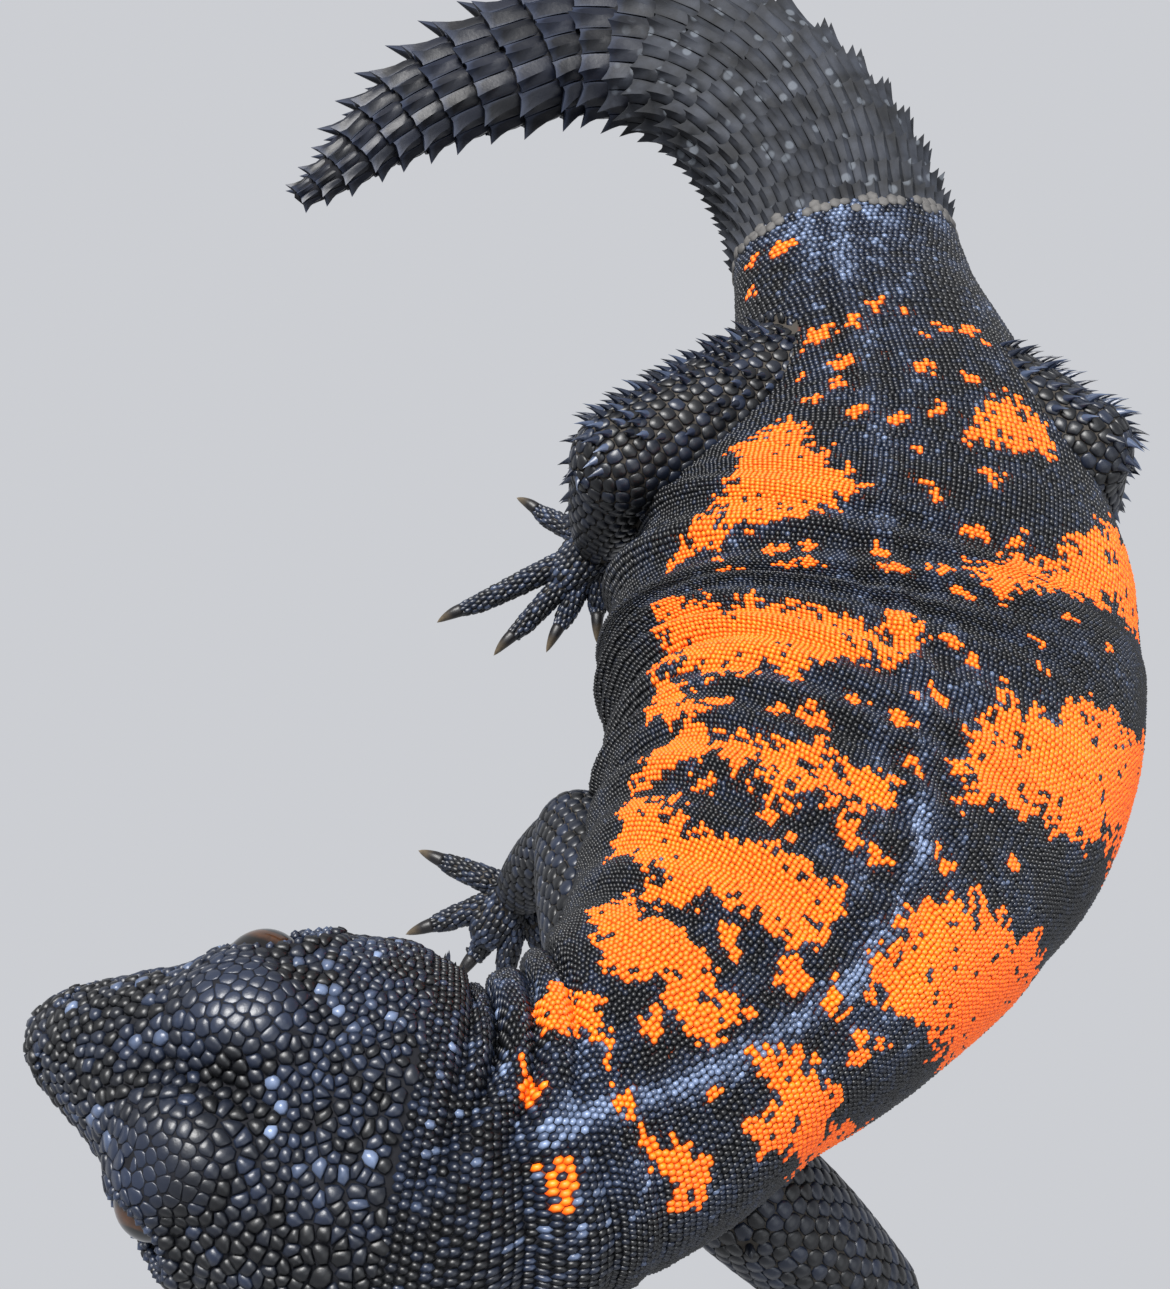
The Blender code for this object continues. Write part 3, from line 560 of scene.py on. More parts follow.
def make_piece(name, points, sizes, corners, finish, unwrap, values=None, sharp=0):
    """A mesh object that rides on the animal, from points in millimetres.

    unwrap has two numbers a corner, values one number a point, and edges over sharp degrees stay hard.
    """
    mesh = bpy.data.meshes.new(name)
    points = np.asarray(points, float).reshape(-1, 3)
    mesh.vertices.add(len(points))
    mesh.vertices.foreach_set("co", (points * MM).astype(np.float32).ravel())
    mesh.loops.add(len(corners))
    mesh.loops.foreach_set("vertex_index", np.asarray(corners, np.int32))
    mesh.polygons.add(len(sizes))
    starts = np.concatenate([[0], np.cumsum(sizes)[:-1]])
    mesh.polygons.foreach_set("loop_start", starts.astype(np.int32))
    mesh.update(calc_edges=True)
    mesh.validate()
    for key, value in (values or {}).items():
        attribute = mesh.attributes.new(key, "FLOAT", "POINT")
        attribute.data.foreach_set("value", np.asarray(value, np.float32).ravel())
    layer = mesh.uv_layers.new(name="OFBake")
    layer.data.foreach_set("uv", np.asarray(unwrap, np.float32).ravel())
    mesh.shade_smooth()
    if sharp:
        mesh.set_sharp_from_angle(angle=math.radians(sharp))
    mesh.materials.append(finish)
    piece = bpy.data.objects.new(name, mesh)
    COLLECTION.objects.link(piece)
    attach(piece, "root")
    triangles = int(np.sum(np.asarray(sizes) - 2))
    print(f"{name}: {triangles} triangles")
    return piece


def body_unwrap(s, q):
    """Place on the unwrap: distance to the right, share round upwards."""
    left, bottom, width, height = BODY_FIELD
    return np.stack([left + width * np.clip(s / TAIL_END, 0, 1), bottom + height * (q + 1) / 2], axis=-1)


def limb_unwrap(index, along, q):
    """The field of limb length number index; along and q are shares."""
    left, bottom, width, height = LIMB_FIELD
    column, row = index % LIMB_COLUMNS, index // LIMB_COLUMNS
    used = 1 - 2 * LIMB_MARGIN
    return np.stack([left + (column + LIMB_MARGIN + used * along) * width / LIMB_COLUMNS,
                     bottom + (row + LIMB_MARGIN + used * q) * height / LIMB_ROWS], axis=-1)


print("fields on the unwrap:", 1 + len(LIMB_LENGTHS))

# %% [markdown]
# Nothing about this animal is regular, so there is noise everywhere, but the same each time the file
# runs. A whole number for each corner of a grid is scrambled into a value from 0 to 1, and values
# between corners are blended smoothly. The colour pattern, the tones and the wear use it.

# %% Repeatable noise
def scramble(x, y, seed):
    """A value from 0 to 1 for whole numbers x and y."""
    n = (x.astype(np.int64) * 73856093) ^ (y.astype(np.int64) * 19349663) ^ (seed * 83492791)
    n = ((n ^ (n >> 13)) * 1274126177) & 0xFFFFFFFF
    n = ((n ^ (n >> 16)) * 2246822519) & 0xFFFFFFFF
    return ((n ^ (n >> 15)) & 0xFFFF) / 65535.0


def noise(x, y, seed):
    """Smooth noise with one blob a unit."""
    i, j = np.floor(x), np.floor(y)
    u, v = x - i, y - j
    u, v = u * u * (3 - 2 * u), v * v * (3 - 2 * v)
    a, b = scramble(i, j, seed), scramble(i + 1, j, seed)
    c, d = scramble(i, j + 1, seed), scramble(i + 1, j + 1, seed)
    return (a * (1 - u) + b * u) * (1 - v) + (c * (1 - u) + d * u) * v


RANDOM = np.random.default_rng(7)
print("noise at the snout: %.2f" % noise(np.zeros(1), np.zeros(1), 1)[0])

# %% [markdown]
# The coat is blue-black with broken orange bars across each flank. Each bar is a small outline on the
# unrolled body: distance from the snout and distance from the middle of the back, positive on the right.
# How deep a scale lies inside an outline, in millimetres, plus noise, decides its colour, so the edges
# come out ragged and single black scales stay inside, as on the animal. The skin below the scales asks
# the same function, so both carry the same pattern.

# %% The orange pattern
PATCHES = (  # the first eight lie on the right, the others on the left
    ((208, 26), (206, 20), (200, 15), (196, 10), (195, 15), (192, 17), (196, 24), (202, 28)),
    ((175, 20), (171, 25), (168, 29), (155, 29), (149, 33), (144, 37), (144, 33), (148, 26), (150, 18),
     (155, 11), (160, 8), (166, 14), (172, 18)),
    ((130, 38), (129, 31), (124, 26), (126, 20), (126, 9), (124, 4), (130, 3), (128, -3), (123, -1),
     (117, 7), (109, 17), (107, 20), (109, 29), (113, 37)),
    ((111, 36), (110, 31), (104, 27), (100, 22), (99, 27), (102, 33)),
    ((101, 24), (98, 17), (98, 12), (101, 7), (101, 1), (102, -3), (96, -2), (94, 4), (93, 12), (93, 19),
     (89, 22), (90, 27), (95, 27)),
    ((87, 26), (86, 20), (84, 14), (85, 10), (87, 6), (86, 0), (88, -5), (81, -5), (78, -2), (77, 8),
     (75, 12), (77, 17), (76, 20), (80, 25)),
    ((64, 14), (69, 19), (73, 17), (72, 9), (71, 5), (70, 2), (71, -3), (66, -3), (64, 1), (65, 5),
     (62, 7), (62, 11)),
    ((52, 12), (57, 12), (59, 8), (58, 4), (57, 1), (56, 1), (55, 5), (52, 7)),
    ((174, -5), (178, -6), (181, -10), (183, -15), (181, -21), (173, -21), (174, -13), (172, -8)),
    ((150, -8), (153, -12), (161, -14), (158, -17), (160, -20), (165, -25), (170, -33), (167, -43),
     (158, -42), (157, -31), (151, -24), (147, -16), (142, -13), (146, -10)),
    ((115, -8), (118, -10), (125, -13), (124, -17), (129, -24), (134, -35), (138, -46), (134, -55),
     (125, -52), (119, -35), (115, -25), (109, -16), (106, -11), (110, -11)),
    ((85, -10), (90, -10), (95, -13), (99, -22), (103, -29), (106, -41), (98, -47), (91, -38), (86, -24),
     (82, -12)),
    ((68, -5), (72, -9), (74, -15), (74, -21), (82, -34), (76, -34), (70, -24), (68, -19), (64, -14),
     (65, -11), (68, -12), (67, -8)),
    ((56, -4), (58, -7), (61, -11), (59, -15), (56, -14), (57, -10), (55, -7)),
    ((47, -4), (49, -4), (49, -9), (47, -9)),
)
SPOTS = (  # small separate ones, by their middles
    (224, 19), (222, 15), (222, 21), (216, 23), (202, 3), (200, -1), (198, 7), (194, -3), (196, -7),
    (196, -11), (193, -14), (191, 4), (190, 11), (190, 28), (188, 18), (187, -1), (185, -8), (186, 27),
    (184, 12), (181, 17), (177, 10), (178, -2), (176, 4), (170, 1), (168, -10), (162, -2), (164, 0),
    (158, -8), (148, 4), (147, 14), (146, 18), (144, 2), (143, 13), (142, 16), (140, 24), (144, 26),
    (146, -5), (142, -8), (144, -24), (142, -31), (136, -18), (131, -19), (128, -5), (126, -9), (127, 1),
    (122, 2), (118, -4), (116, -1), (112, -1), (110, -9), (111, 6), (105, 9), (104, 13), (103, 21),
    (106, -4), (102, -3), (100, -4), (105, -21), (98, -12), (93, -1), (93, -5), (92, 7), (90, 8), (89, 5),
    (90, 17), (87, 19), (84, -4), (80, -17), (78, -14), (78, -9), (76, -4), (74, 3), (76, 10), (74, 13),
    (63, -7), (62, 2), (55, -2), (48, 4),
)
print("patches:", len(PATCHES), "spots:", len(SPOTS))

# %% [markdown]
# Inside is found as on paper: a line drawn from a place crosses the outline an odd number of times. The
# distance to the nearest edge tells how deep. Coarse noise then bends the edge, fine noise frays it to
# single scales, and flecks of black are cut out, thicker near the edge than deep inside.

# %% How orange a place is
COARSE_FRAY, FINE_FRAY = 2.8, 3.6  # mm by which the edges of the patches wander
SPOT_SIZE = (0.8, 1.7)  # mm, smallest and largest radius


def depth_inside(corners, s, v):
    """Signed distance to an outline: positive inside, by the nearest edge and a count of crossings."""
    corner = np.array(corners, float)
    after = np.roll(corner, -1, axis=0)
    x, y = s[..., None], v[..., None]
    ex, ey = after[:, 0] - corner[:, 0], after[:, 1] - corner[:, 1]
    dx, dy = x - corner[:, 0], y - corner[:, 1]
    t = np.clip((dx * ex + dy * ey) / (ex * ex + ey * ey), 0, 1)
    gap = np.hypot(dx - t * ex, dy - t * ey).min(axis=-1)
    above, before = corner[:, 1] > y, after[:, 1] > y
    cross = (above != before) & (x < ex * (y - corner[:, 1]) / np.where(ey == 0, 1, ey) + corner[:, 0])
    return np.where(cross.sum(axis=-1) % 2 == 1, gap, -gap)


def orange_at(s, v):
    """How deep a place lies in orange, in mm, with ragged edges and black flecks; above 0 is orange."""
    near = (s > 40) & (s < 232)
    depth = np.full(s.shape, -20.0)
    for patch in PATCHES:
        depth[near] = np.maximum(depth[near], depth_inside(patch, s[near], v[near]))
    fray = COARSE_FRAY * (noise(s / 3.1, v / 2.7, 1) - 0.5) + FINE_FRAY * (noise(s / 0.75, v / 0.8, 2) - 0.5)
    fray = fray * (0.5 + 0.5 * ramp(s, 60, 90))
    specks = noise(s / 0.75 + 0.3 * v, v / 0.8, 3) * (0.6 + 0.4 * noise(s / 4, v / 4, 4))
    value = depth - 0.3 + fray - 12 * (specks > 0.77 - 0.18 * ramp(depth, 7, 0))
    least, most = SPOT_SIZE
    for at_s, at_v in SPOTS:
        size = least + (most - least) * float(scramble(np.array(at_s), np.array(at_v), 5))
        gap = size + 2.4 * (noise(s / 0.9, v / 0.9, 6) - 0.62) - np.hypot(s - at_s, (v - at_v) * 0.8)
        value = np.maximum(value, gap)
    return value


print("depth in the first patch: %.1f mm" % orange_at(np.array([200.0]), np.array([21.0]))[0])

# %% [markdown]
# Shader maths reads badly as a list of nodes and links. A small class wraps a socket, so that sums and
# products can be written as in Python. Each of them adds one Math node to the material.

# %% Sums and products of what varies
class Value:
    """A number that varies over a surface. Arithmetic on it adds Math nodes to its material."""

    def __init__(self, finish, socket):
        self.finish, self.socket = finish, socket

    def _math(self, operation, a, b):
        return self.finish.node("ShaderNodeMath", {"operation": operation}, {0: a, 1: b})

    def __add__(self, other):
        return self._math("ADD", self, other)

    def __sub__(self, other):
        return self._math("SUBTRACT", self, other)

    def __rsub__(self, other):
        return self._math("SUBTRACT", other, self)

    def __mul__(self, other):
        return self._math("MULTIPLY", self, other)

    __radd__ = __add__
    __rmul__ = __mul__


print("operators:", [name for name in vars(Value) if name.startswith(("__add", "__sub", "__mul", "__r"))])

# %% [markdown]
# A second class holds a material. One method adds any node, with its settings and what its sockets take.
# The others are the few nodes that come up again and again here: a value stored on the mesh, noise, a
# blend of two colours, a change of range and a fine relief.

# %% A finish and its nodes
class Finish:
    """A material with one Principled shader, and one method that adds any node."""

    def __init__(self, name, **constants):
        self.material = bpy.data.materials.new(name)
        self.material.use_nodes = True
        self.tree = self.material.node_tree
        self.shader = self.tree.nodes["Principled BSDF"]
        for socket, value in constants.items():
            self.shader.inputs[socket.replace("_", " ")].default_value = value

    def node(self, kind, settings=None, inputs=None, output=0):
        """Adds a node, with its settings first and then the values or links of its sockets."""
        made = self.tree.nodes.new(kind)
        for key, value in (settings or {}).items():
            setattr(made, key, value)
        for key, value in (inputs or {}).items():
            self.feed(made.inputs[key], value)
        return Value(self, made.outputs[output])

    def feed(self, socket, value):
        if isinstance(value, Value):
            self.tree.links.new(value.socket, socket)
        else:
            socket.default_value = value

    def set(self, **inputs):
        """Values or links for the shader's own sockets."""
        for name, value in inputs.items():
            self.feed(self.shader.inputs[name.replace("_", " ")], value)

    def attribute(self, name):
        return self.node("ShaderNodeAttribute", {"attribute_name": name}, output="Fac")

    def noise(self, scale, detail=3.0):
        """Noise over the object's own coordinates; scale is in blobs a metre."""
        place = self.node("ShaderNodeTexCoord", output="Object")
        return self.node("ShaderNodeTexNoise", None, {"Vector": place, "Scale": scale, "Detail": detail})

    def mix(self, share, first, second):
        """Blends two colours, each a colour or a link."""
        return self.node("ShaderNodeMix", {"data_type": "RGBA"}, {0: share, 6: first, 7: second}, output=2)

    def spread(self, value, low, high, to_low=0.0, to_high=1.0):
        """Maps a range onto another and clamps it."""
        return self.node("ShaderNodeMapRange", None, {
            "Value": value, "From Min": low, "From Max": high, "To Min": to_low, "To Max": to_high})

    def bump(self, height, strength, distance):
        normal = self.node("ShaderNodeBump", None, {
            "Height": height, "Strength": strength, "Distance": distance})
        self.set(Normal=normal)


def colour(red, green, blue):
    """A colour given as it shows on a screen, 0 to 255, made linear."""
    share = np.array([red, green, blue]) / 255
    linear = np.where(share <= 0.04045, share / 12.92, ((share + 0.055) / 1.055) ** 2.4)
    return (*linear.tolist(), 1.0)


print("mid grey, made linear: %.3f" % colour(128, 128, 128)[0])

# %% [markdown]
# The scales are blue-black horn with a faint gloss. Each has its own tone. Its rim and tip, and the highest
# tones, are mixed towards a pale blue-grey: a painted glint where the light catches the scale. Orange ones
# are a strong orange, brighter at the rim as a painted highlight, and a little redder where they are darker.
# The skin between scales is darker, dull and finely blotched.

# %% Finishes of skin and scales
# The pale blue-grey is a painted glint, mixed into the scales' rims and their highest tones.
BLACK, BLUE_BLACK, RIM_GLINT = colour(4, 5, 8), colour(36, 46, 68), colour(122, 138, 168)
ORANGE, DEEP_ORANGE = colour(253, 114, 6), colour(222, 76, 3)


def scale_finish():
    made = Finish("scales", Specular_IOR_Level=0.4)
    orange, tone, rim = (made.attribute(n) for n in ("orange", "tone", "rim"))
    dark = made.mix(made.spread(tone, 0.1, 1.0), BLACK, BLUE_BLACK)
    # Rim, tip and high tones go pale blue-grey: a painted glint.
    dark = made.mix(made.spread(rim * tone, 0.25, 1.0, 0.0, 0.4), dark, RIM_GLINT)
    dark = made.mix(made.spread(tone, 0.55, 1.0, 0.0, 0.5), dark, RIM_GLINT)
    # Orange is brightest at the rim: a painted highlight.
    bright = made.mix(made.spread(rim + tone * 0.5, 0.1, 1.0), DEEP_ORANGE, ORANGE)
    made.set(Base_Color=made.mix(orange, dark, bright))
    made.set(Roughness=made.spread(tone, 0.0, 1.0, 0.42, 0.30) + 0.12 * orange)
    made.bump(made.noise(2600, 2), 0.25, 0.0001)
    return made.material


def skin_finish():
    made = Finish("skin", Roughness=0.8, Specular_IOR_Level=0.15)
    orange, leg = made.attribute("orange"), made.attribute("leg")
    blotch = made.noise(420, 4)
    dark = made.mix(blotch, colour(7, 7, 9), colour(20, 21, 27))
    dark = made.mix(made.spread(leg, 0, 1, 0, 0.8), dark, colour(54, 50, 45))
    bright = made.mix(blotch, colour(120, 48, 8), colour(170, 72, 12))
    made.set(Base_Color=made.mix(orange, dark, bright))
    made.bump(made.noise(1500, 4), 0.5, 0.0002)
    return made.material


SCALES, SKIN = scale_finish(), skin_finish()
print("finishes:", SCALES.name, SKIN.name)

# %% [markdown]
# One skin lies under all the flesh, so that no seam shows between head, neck, trunk, tail and legs. It
# is made from tubes closed at both ends, one for the body and one for each length of limb. A tube is a
# row of rings with quads between them, and a fan of triangles closes each end.

# %% Closed tubes
SKIN_DEPTH = 0.4  # mm below the solids' surface, to leave room for the scales


def under_scales(s, q):
    """The body's surface at the depth of the skin."""
    return body_skin(s, q, -SKIN_DEPTH)


def tube_faces(rows, around):
    """Quads between rings and a fan at each end. Returns sizes, corners, and each corner's ring and step."""
    i, j = (x.ravel() for x in np.meshgrid(np.arange(rows - 1), np.arange(around), indexing="ij"))
    ring = np.stack([i, i + 1, i + 1, i], axis=1)
    step = np.stack([j, j, j + 1, j + 1], axis=1)
    quads = ring * around + step % around
    k = np.arange(around)
    first = np.stack([np.full(around, rows * around), k, (k + 1) % around], axis=1)
    last = (rows - 1) * around
    final = np.stack([last + k, np.full(around, rows * around + 1), last + (k + 1) % around], axis=1)
    sizes = np.concatenate([np.full(len(quads), 4), np.full(2 * around, 3)])
    corners = np.concatenate([quads.ravel(), first.ravel(), final.ravel()])
    fan = np.stack([k + 0.5, k, k + 1], axis=1)
    fan_last = np.stack([k, k + 0.5, k + 1], axis=1)
    rings = np.concatenate([ring.ravel(), np.tile([-1, 0, 0], around),
                            np.tile([rows - 1, rows, rows - 1], around)])
    steps = np.concatenate([step.ravel(), fan.ravel(), fan_last.ravel()])
    return sizes, corners, rings, steps


def skin_tube(name, surface, stations, around, q_start, q_span, ends, unwrap):
    """A closed tube over a surface, as a plain object for the union."""
    q = q_start + q_span * np.arange(around) / around
    rings = surface(stations[:, None], q[None, :])
    points = np.concatenate([rings.reshape(-1, 3), ends])
    sizes, corners, ring, step = tube_faces(len(stations), around)
    padded = np.concatenate([[stations[0]], stations, [stations[-1]]])
    return make_piece(name, points, sizes, corners, SKIN,
                      unwrap(padded[ring + 1], q_start + q_span * step / around))


print("faces of a tube with 3 rings of 8:", len(tube_faces(3, 8)[0]))

# %% [markdown]
# Some things know only where they are in space: the points of the joined skin, and scales on the legs.
# Their place on the body is worked out backwards. The nearest point of the centre line gives the distance
# from the snout, and the direction from there gives the angle, which the table turns into a share.

# %% From a place in space back to the body
CHUNK = 20000  # points compared at a time, to save memory


def body_place(points):
    """Distance along the body, distance from the back's line and height over the outline, for points."""
    coarse = np.arange(0, TAIL_END, 1.0)
    centre, back, left, up = body_frame(coarse)
    nearest = np.concatenate([
        np.argmin(((chunk[:, None] - centre[None]) ** 2).sum(-1), axis=1)
        for chunk in np.array_split(points, max(1, len(points) // CHUNK))])
    off = points - centre[nearest]
    s = coarse[nearest] + (off * back[nearest]).sum(-1)
    side, height = (off * left[nearest]).sum(-1), (off * up[nearest]).sum(-1)
    width, rise, drop = (g + 1e-6 for g in girths(s))
    tall = np.where(height > 0, rise, drop)
    measure = (np.abs(side / width) ** SQUARENESS + np.abs(height / tall) ** SQUARENESS) ** (1 / SQUARENESS)
    angle = np.arctan2(np.sign(height) * np.abs(height / tall) ** (SQUARENESS / 2),
                       np.sign(side) * np.abs(side / width) ** (SQUARENESS / 2))
    angle = np.where(angle < -math.pi / 2, angle + 2 * math.pi, angle)
    return s, share_of(s, angle) * half_girth(s), (measure - 1) * np.minimum(width, tall)


print("the vent comes back at %.1f mm" % body_place(body_skin(VENT, 0.2).reshape(1, 3))[0][0])

# %% [markdown]
# The body's tube has closer rings on the head, where the relief is fine, and it lies deeper under the
# tail's thick plates. A limb's tube runs over both of its round ends, one of them hidden in the body.

# %% Tubes of body and limbs
BODY_ROUND, LIMB_ROUND = 120, 28  # points in a ring
TAIL_DEPTH = 0.5  # how much deeper the skin lies under the tail's plates
LIMB_SPACING, TOE_SPACING = 1.2, 0.7  # mm between rings


def body_tube():
    """The body from snout to tail tip, with closer rings on the head."""
    stations = np.concatenate([np.arange(0.3, 60, 0.6), np.arange(60, TAIL_END, 0.95), [TAIL_END]])
    deep = -SKIN_DEPTH - TAIL_DEPTH * ramp(stations, VENT - 2, VENT + 4) * ramp(stations, TAIL_END, 340)
    ends = [body_skin(0.0, 0.0), body_skin(TAIL_END, 0.0) + [-0.6, -0.4, -1.2]]
    return skin_tube("skin", lambda s, q: body_skin(s, q, deep[:, None] * ramp(s, 0, 6)), stations,
                     BODY_ROUND, -1, 2, ends, body_unwrap)


def limb_tube(index, part):
    """One length of limb, from its round end to the other."""
    spacing = TOE_SPACING if "toe" in part.name else LIMB_SPACING
    at = np.linspace(0, part.total, 2 + int(part.total / spacing))[1:-1]
    ends = part.skin(np.array([0, part.total]), np.array([0, 0]), -SKIN_DEPTH)
    return skin_tube(part.name, lambda a, q: part.skin(a, q, -SKIN_DEPTH), at, LIMB_ROUND, 0, 1, ends,
                     lambda a, q: limb_unwrap(index, a / part.total, q))


print("points in a ring: %d on the body, %d on a limb" % (BODY_ROUND, LIMB_ROUND))

# %% [markdown]
# A Boolean union joins the tubes into one closed surface, because a leg's hidden root would otherwise lie
# inside the body. The orange pattern is worked out on the joined points, and a second value marks the
# legs, whose skin is paler between the tiles. The skin takes the place of all the solids' flesh.

# %% The skin
def join(target, other):
    """Boolean union, with the result kept as the target's own mesh."""
    change = target.modifiers.new("join", "BOOLEAN")
    change.operation, change.solver, change.object = "UNION", "MANIFOLD", other
    graph = bpy.context.evaluated_depsgraph_get()
    mesh = bpy.data.meshes.new_from_object(target.evaluated_get(graph))
    target.modifiers.clear()
    target.data = mesh
    bpy.data.objects.remove(other)


def make_skin():
    """Joins body and limbs, then works out the pattern on the joined points."""
    body = body_tube()
    for index, part in enumerate(LIMB_LENGTHS):
        join(body, limb_tube(index, part))
    mesh = body.data
    co = np.zeros(len(mesh.vertices) * 3, np.float32)
    mesh.vertices.foreach_get("co", co)
    points = co.reshape(-1, 3) / MM
    s, v, _ = body_place(points)
    leg = np.zeros(len(points), bool)
    for part in LIMB_LENGTHS:
        leg |= part.holds(points, -0.5)
    orange = np.where(leg, 0, ramp(orange_at(s, v), -0.6, 0.6))
    for name, value in (("orange", orange), ("leg", leg)):
        mesh.attributes.new(name, "FLOAT", "POINT").data.foreach_set("value", value.astype(np.float32))
    mesh.shade_smooth()
    return body


skin = make_skin()
FLESH = ["head", "neck", "chest", "belly", "hips", "tail_base", "tail_middle", "tail_rear", "tail_tip"]
FLESH += [f"{n}_{word}" for word in ("left", "right")
          for n in ("upper_arm", "forearm", "hand", "thigh", "shank", "foot")]
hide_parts(*FLESH)
print("skin faces:", len(skin.data.polygons))

# %% [markdown]
# A scale is a small closed mesh of a few faces, with its underside sunk in the skin. Each kind is made
# once as a Shape: points given as along, across and height, in shares of a scale's own length, width
# and rise. Along runs towards the tail or the toes, the way the scales lie. Most kinds are a stack of
# small rings, each narrower than the one below it, closed by a tip.

# %% Shapes of scales
class Shape:
    """A closed form that is repeated: its points, faces, and how much of each point takes the rim's painted
    glint.
    """

    def __init__(self, points, faces, rim):
        self.points = np.array(points, float)
        self.sizes = np.array([len(f) for f in faces])
        self.corners = np.concatenate([np.array(f) for f in faces])
        self.rim = np.array(rim, float)


def ring_points(count, reach_along, reach_across, height, shift=0.0):
    """Corners of one ring: an ellipse at a height, shifted along."""
    turn = np.arange(count) * 2 * np.pi / count
    return [(shift + reach_along * math.cos(t), reach_across * math.sin(t), height) for t in turn]


def stacked(rings, tip):
    """Faces that close a stack of equal rings: an underside, walls and a tip."""
    count = len(rings[0])
    points = [p for ring in rings for p in ring] + [tip]
    faces = [tuple(reversed(range(count)))]
    for low in range(0, (len(rings) - 1) * count, count):
        high = low + count
        faces += [(low + i, low + (i + 1) % count, high + (i + 1) % count, high + i) for i in range(count)]
    top = (len(rings) - 1) * count
    faces += [(top + i, top + (i + 1) % count, len(points) - 1) for i in range(count)]
    return points, faces


def bead(reach_along, reach_across, edge, root):
    """Six-sided, with a peak above and another below: the fewest faces that still look round."""
    points = ring_points(6, reach_along, reach_across, edge) + [(0.12, 0, 1.0), (0, 0, root)]
    faces = [(i, (i + 1) % 6, 6) for i in range(6)] + [((i + 1) % 6, i, 7) for i in range(6)]
    return points, faces


CELL_SIDES, THORN_SIDES = 10, 7
BEAD = Shape(*bead(0.65, 0.56, 0.45, -1.6), rim=[0.9, 0.5, 0.1, 0, 0.1, 0.5, 0.8, 0])
DOME = Shape(*stacked([ring_points(6, 0.56, 0.56, -0.8), ring_points(6, 0.47, 0.47, 0.45)], (0.06, 0, 1.0)),
             rim=[0] * 6 + [0.35] * 6 + [1.0])
SHINGLE = Shape(*stacked([ring_points(6, 0.66, 0.54, -0.8), ring_points(6, 0.60, 0.50, 0.15, 0.06),
                          ring_points(6, 0.36, 0.30, 0.8, 0.12)], (0.34, 0, 1.0)),
                rim=[0] * 6 + [0.9, 0.6, 0.1, 0, 0.1, 0.6] + [0.5] * 6 + [0.9])
CELL = Shape(*stacked([ring_points(CELL_SIDES, 0.97, 0.97, -0.9), ring_points(CELL_SIDES, 0.95, 0.95, 0.2),
                       ring_points(CELL_SIDES, 0.80, 0.80, 0.82)], (0.04, 0, 1.0)),
             rim=[0] * CELL_SIDES + [0.6] * CELL_SIDES + [0.35] * CELL_SIDES + [0.6])
THORN = Shape(*stacked([ring_points(THORN_SIDES, 0.5, 0.5, -0.3),
                        ring_points(THORN_SIDES, 0.30, 0.27, 0.22, 0.16),
                        ring_points(THORN_SIDES, 0.14, 0.12, 0.62, 0.42)], (0.80, 0, 1.0)),
              rim=[0] * THORN_SIDES + [0.1] * THORN_SIDES + [0.4] * THORN_SIDES + [1.0])
print("faces a bead:", len(BEAD.sizes), "faces a cell:", len(CELL.sizes))

# %% [markdown]
# To place a scale it takes the point it stands on, which way the rows run, which way is across and which
# way is out. These come from the surface itself, by looking a little ahead and a little aside. Copies are
# then made by multiplying whole arrays, so that tens of thousands of scales take only seconds.

# %% Placing copies on a surface
FLOOR_GAP = 0.01  # mm that every copy keeps above the floor


def surface_frames(surface, a, b, da=0.15, db=0.004):
    """Place, two slopes of the surface in mm for each unit of a and b, and the outward direction."""
    ahead = (surface(a + da, b) - surface(a - da, b)) / (2 * da)
    across = (surface(a, b + db) - surface(a, b - db)) / (2 * db)
    return surface(a, b), ahead, across, unit(np.cross(ahead, across))


def copies(shape, place, ahead, across, out, length, width, rise, lean=0.0, reach=1.0):
    """Points of all copies: place + ahead * along + across * sideways + (out leaning ahead) * height.

    length, width, rise and lean are one number, or one for each copy. reach stretches points sideways.
    """
    along, sideways, height = (shape.points[:, k][None, :, None] for k in range(3))
    reach = np.broadcast_to(reach, (len(place), len(shape.points)))[..., None]
    along, sideways = along * reach, sideways * reach
    column = [np.broadcast_to(np.asarray(x, float), len(place))[:, None, None]
              for x in (length, width, rise, lean)]
    up = out[:, None] + ahead[:, None] * column[3]
    points = (place[:, None] + ahead[:, None] * along * column[0] + across[:, None] * sideways * column[1]
              + up * height * column[2])
    points[..., 2] = np.maximum(points[..., 2], FLOOR_GAP)
    return points


def make_scales(name, shape, points, root, orange=0.0, tone=None, sharp=0, finish=SCALES):
    """One piece from all copies of a shape, each with its own tone and a small patch of the unwrap."""
    count, each = len(points), len(shape.points)
    tone = RANDOM.random(count) if tone is None else tone
    corners = (shape.corners[None, :] + each * np.arange(count)[:, None]).ravel()
    spot = shape.points[shape.corners, :2] * PATCH_SIZE / 1.4
    values = dict(
        orange=np.repeat(np.broadcast_to(orange, count), each), tone=np.repeat(tone, each),
        rim=np.tile(shape.rim, count))
    return make_piece(name, points, np.tile(shape.sizes, count), corners, finish, root[:, None] + spot[None],
                      values, sharp)


print("a bead's size on the unwrap: %.4f" % (np.ptp(BEAD.points[:, 0]) * PATCH_SIZE / 1.4))

# %% [markdown]
# The back carries fine scales in rows across the body, each row set half a scale aside from the one
# before it, like bricks. That is what gives the coat its woven look. The rows are closest on neck and
# shoulders and widest on the rump. On the inside of the bend they crowd together, so each scale takes
# its length from how far apart the rows really are there. Scales that would lie inside a leg are left
# out, and so are those over the ear. The belly's scales are larger and flatter.

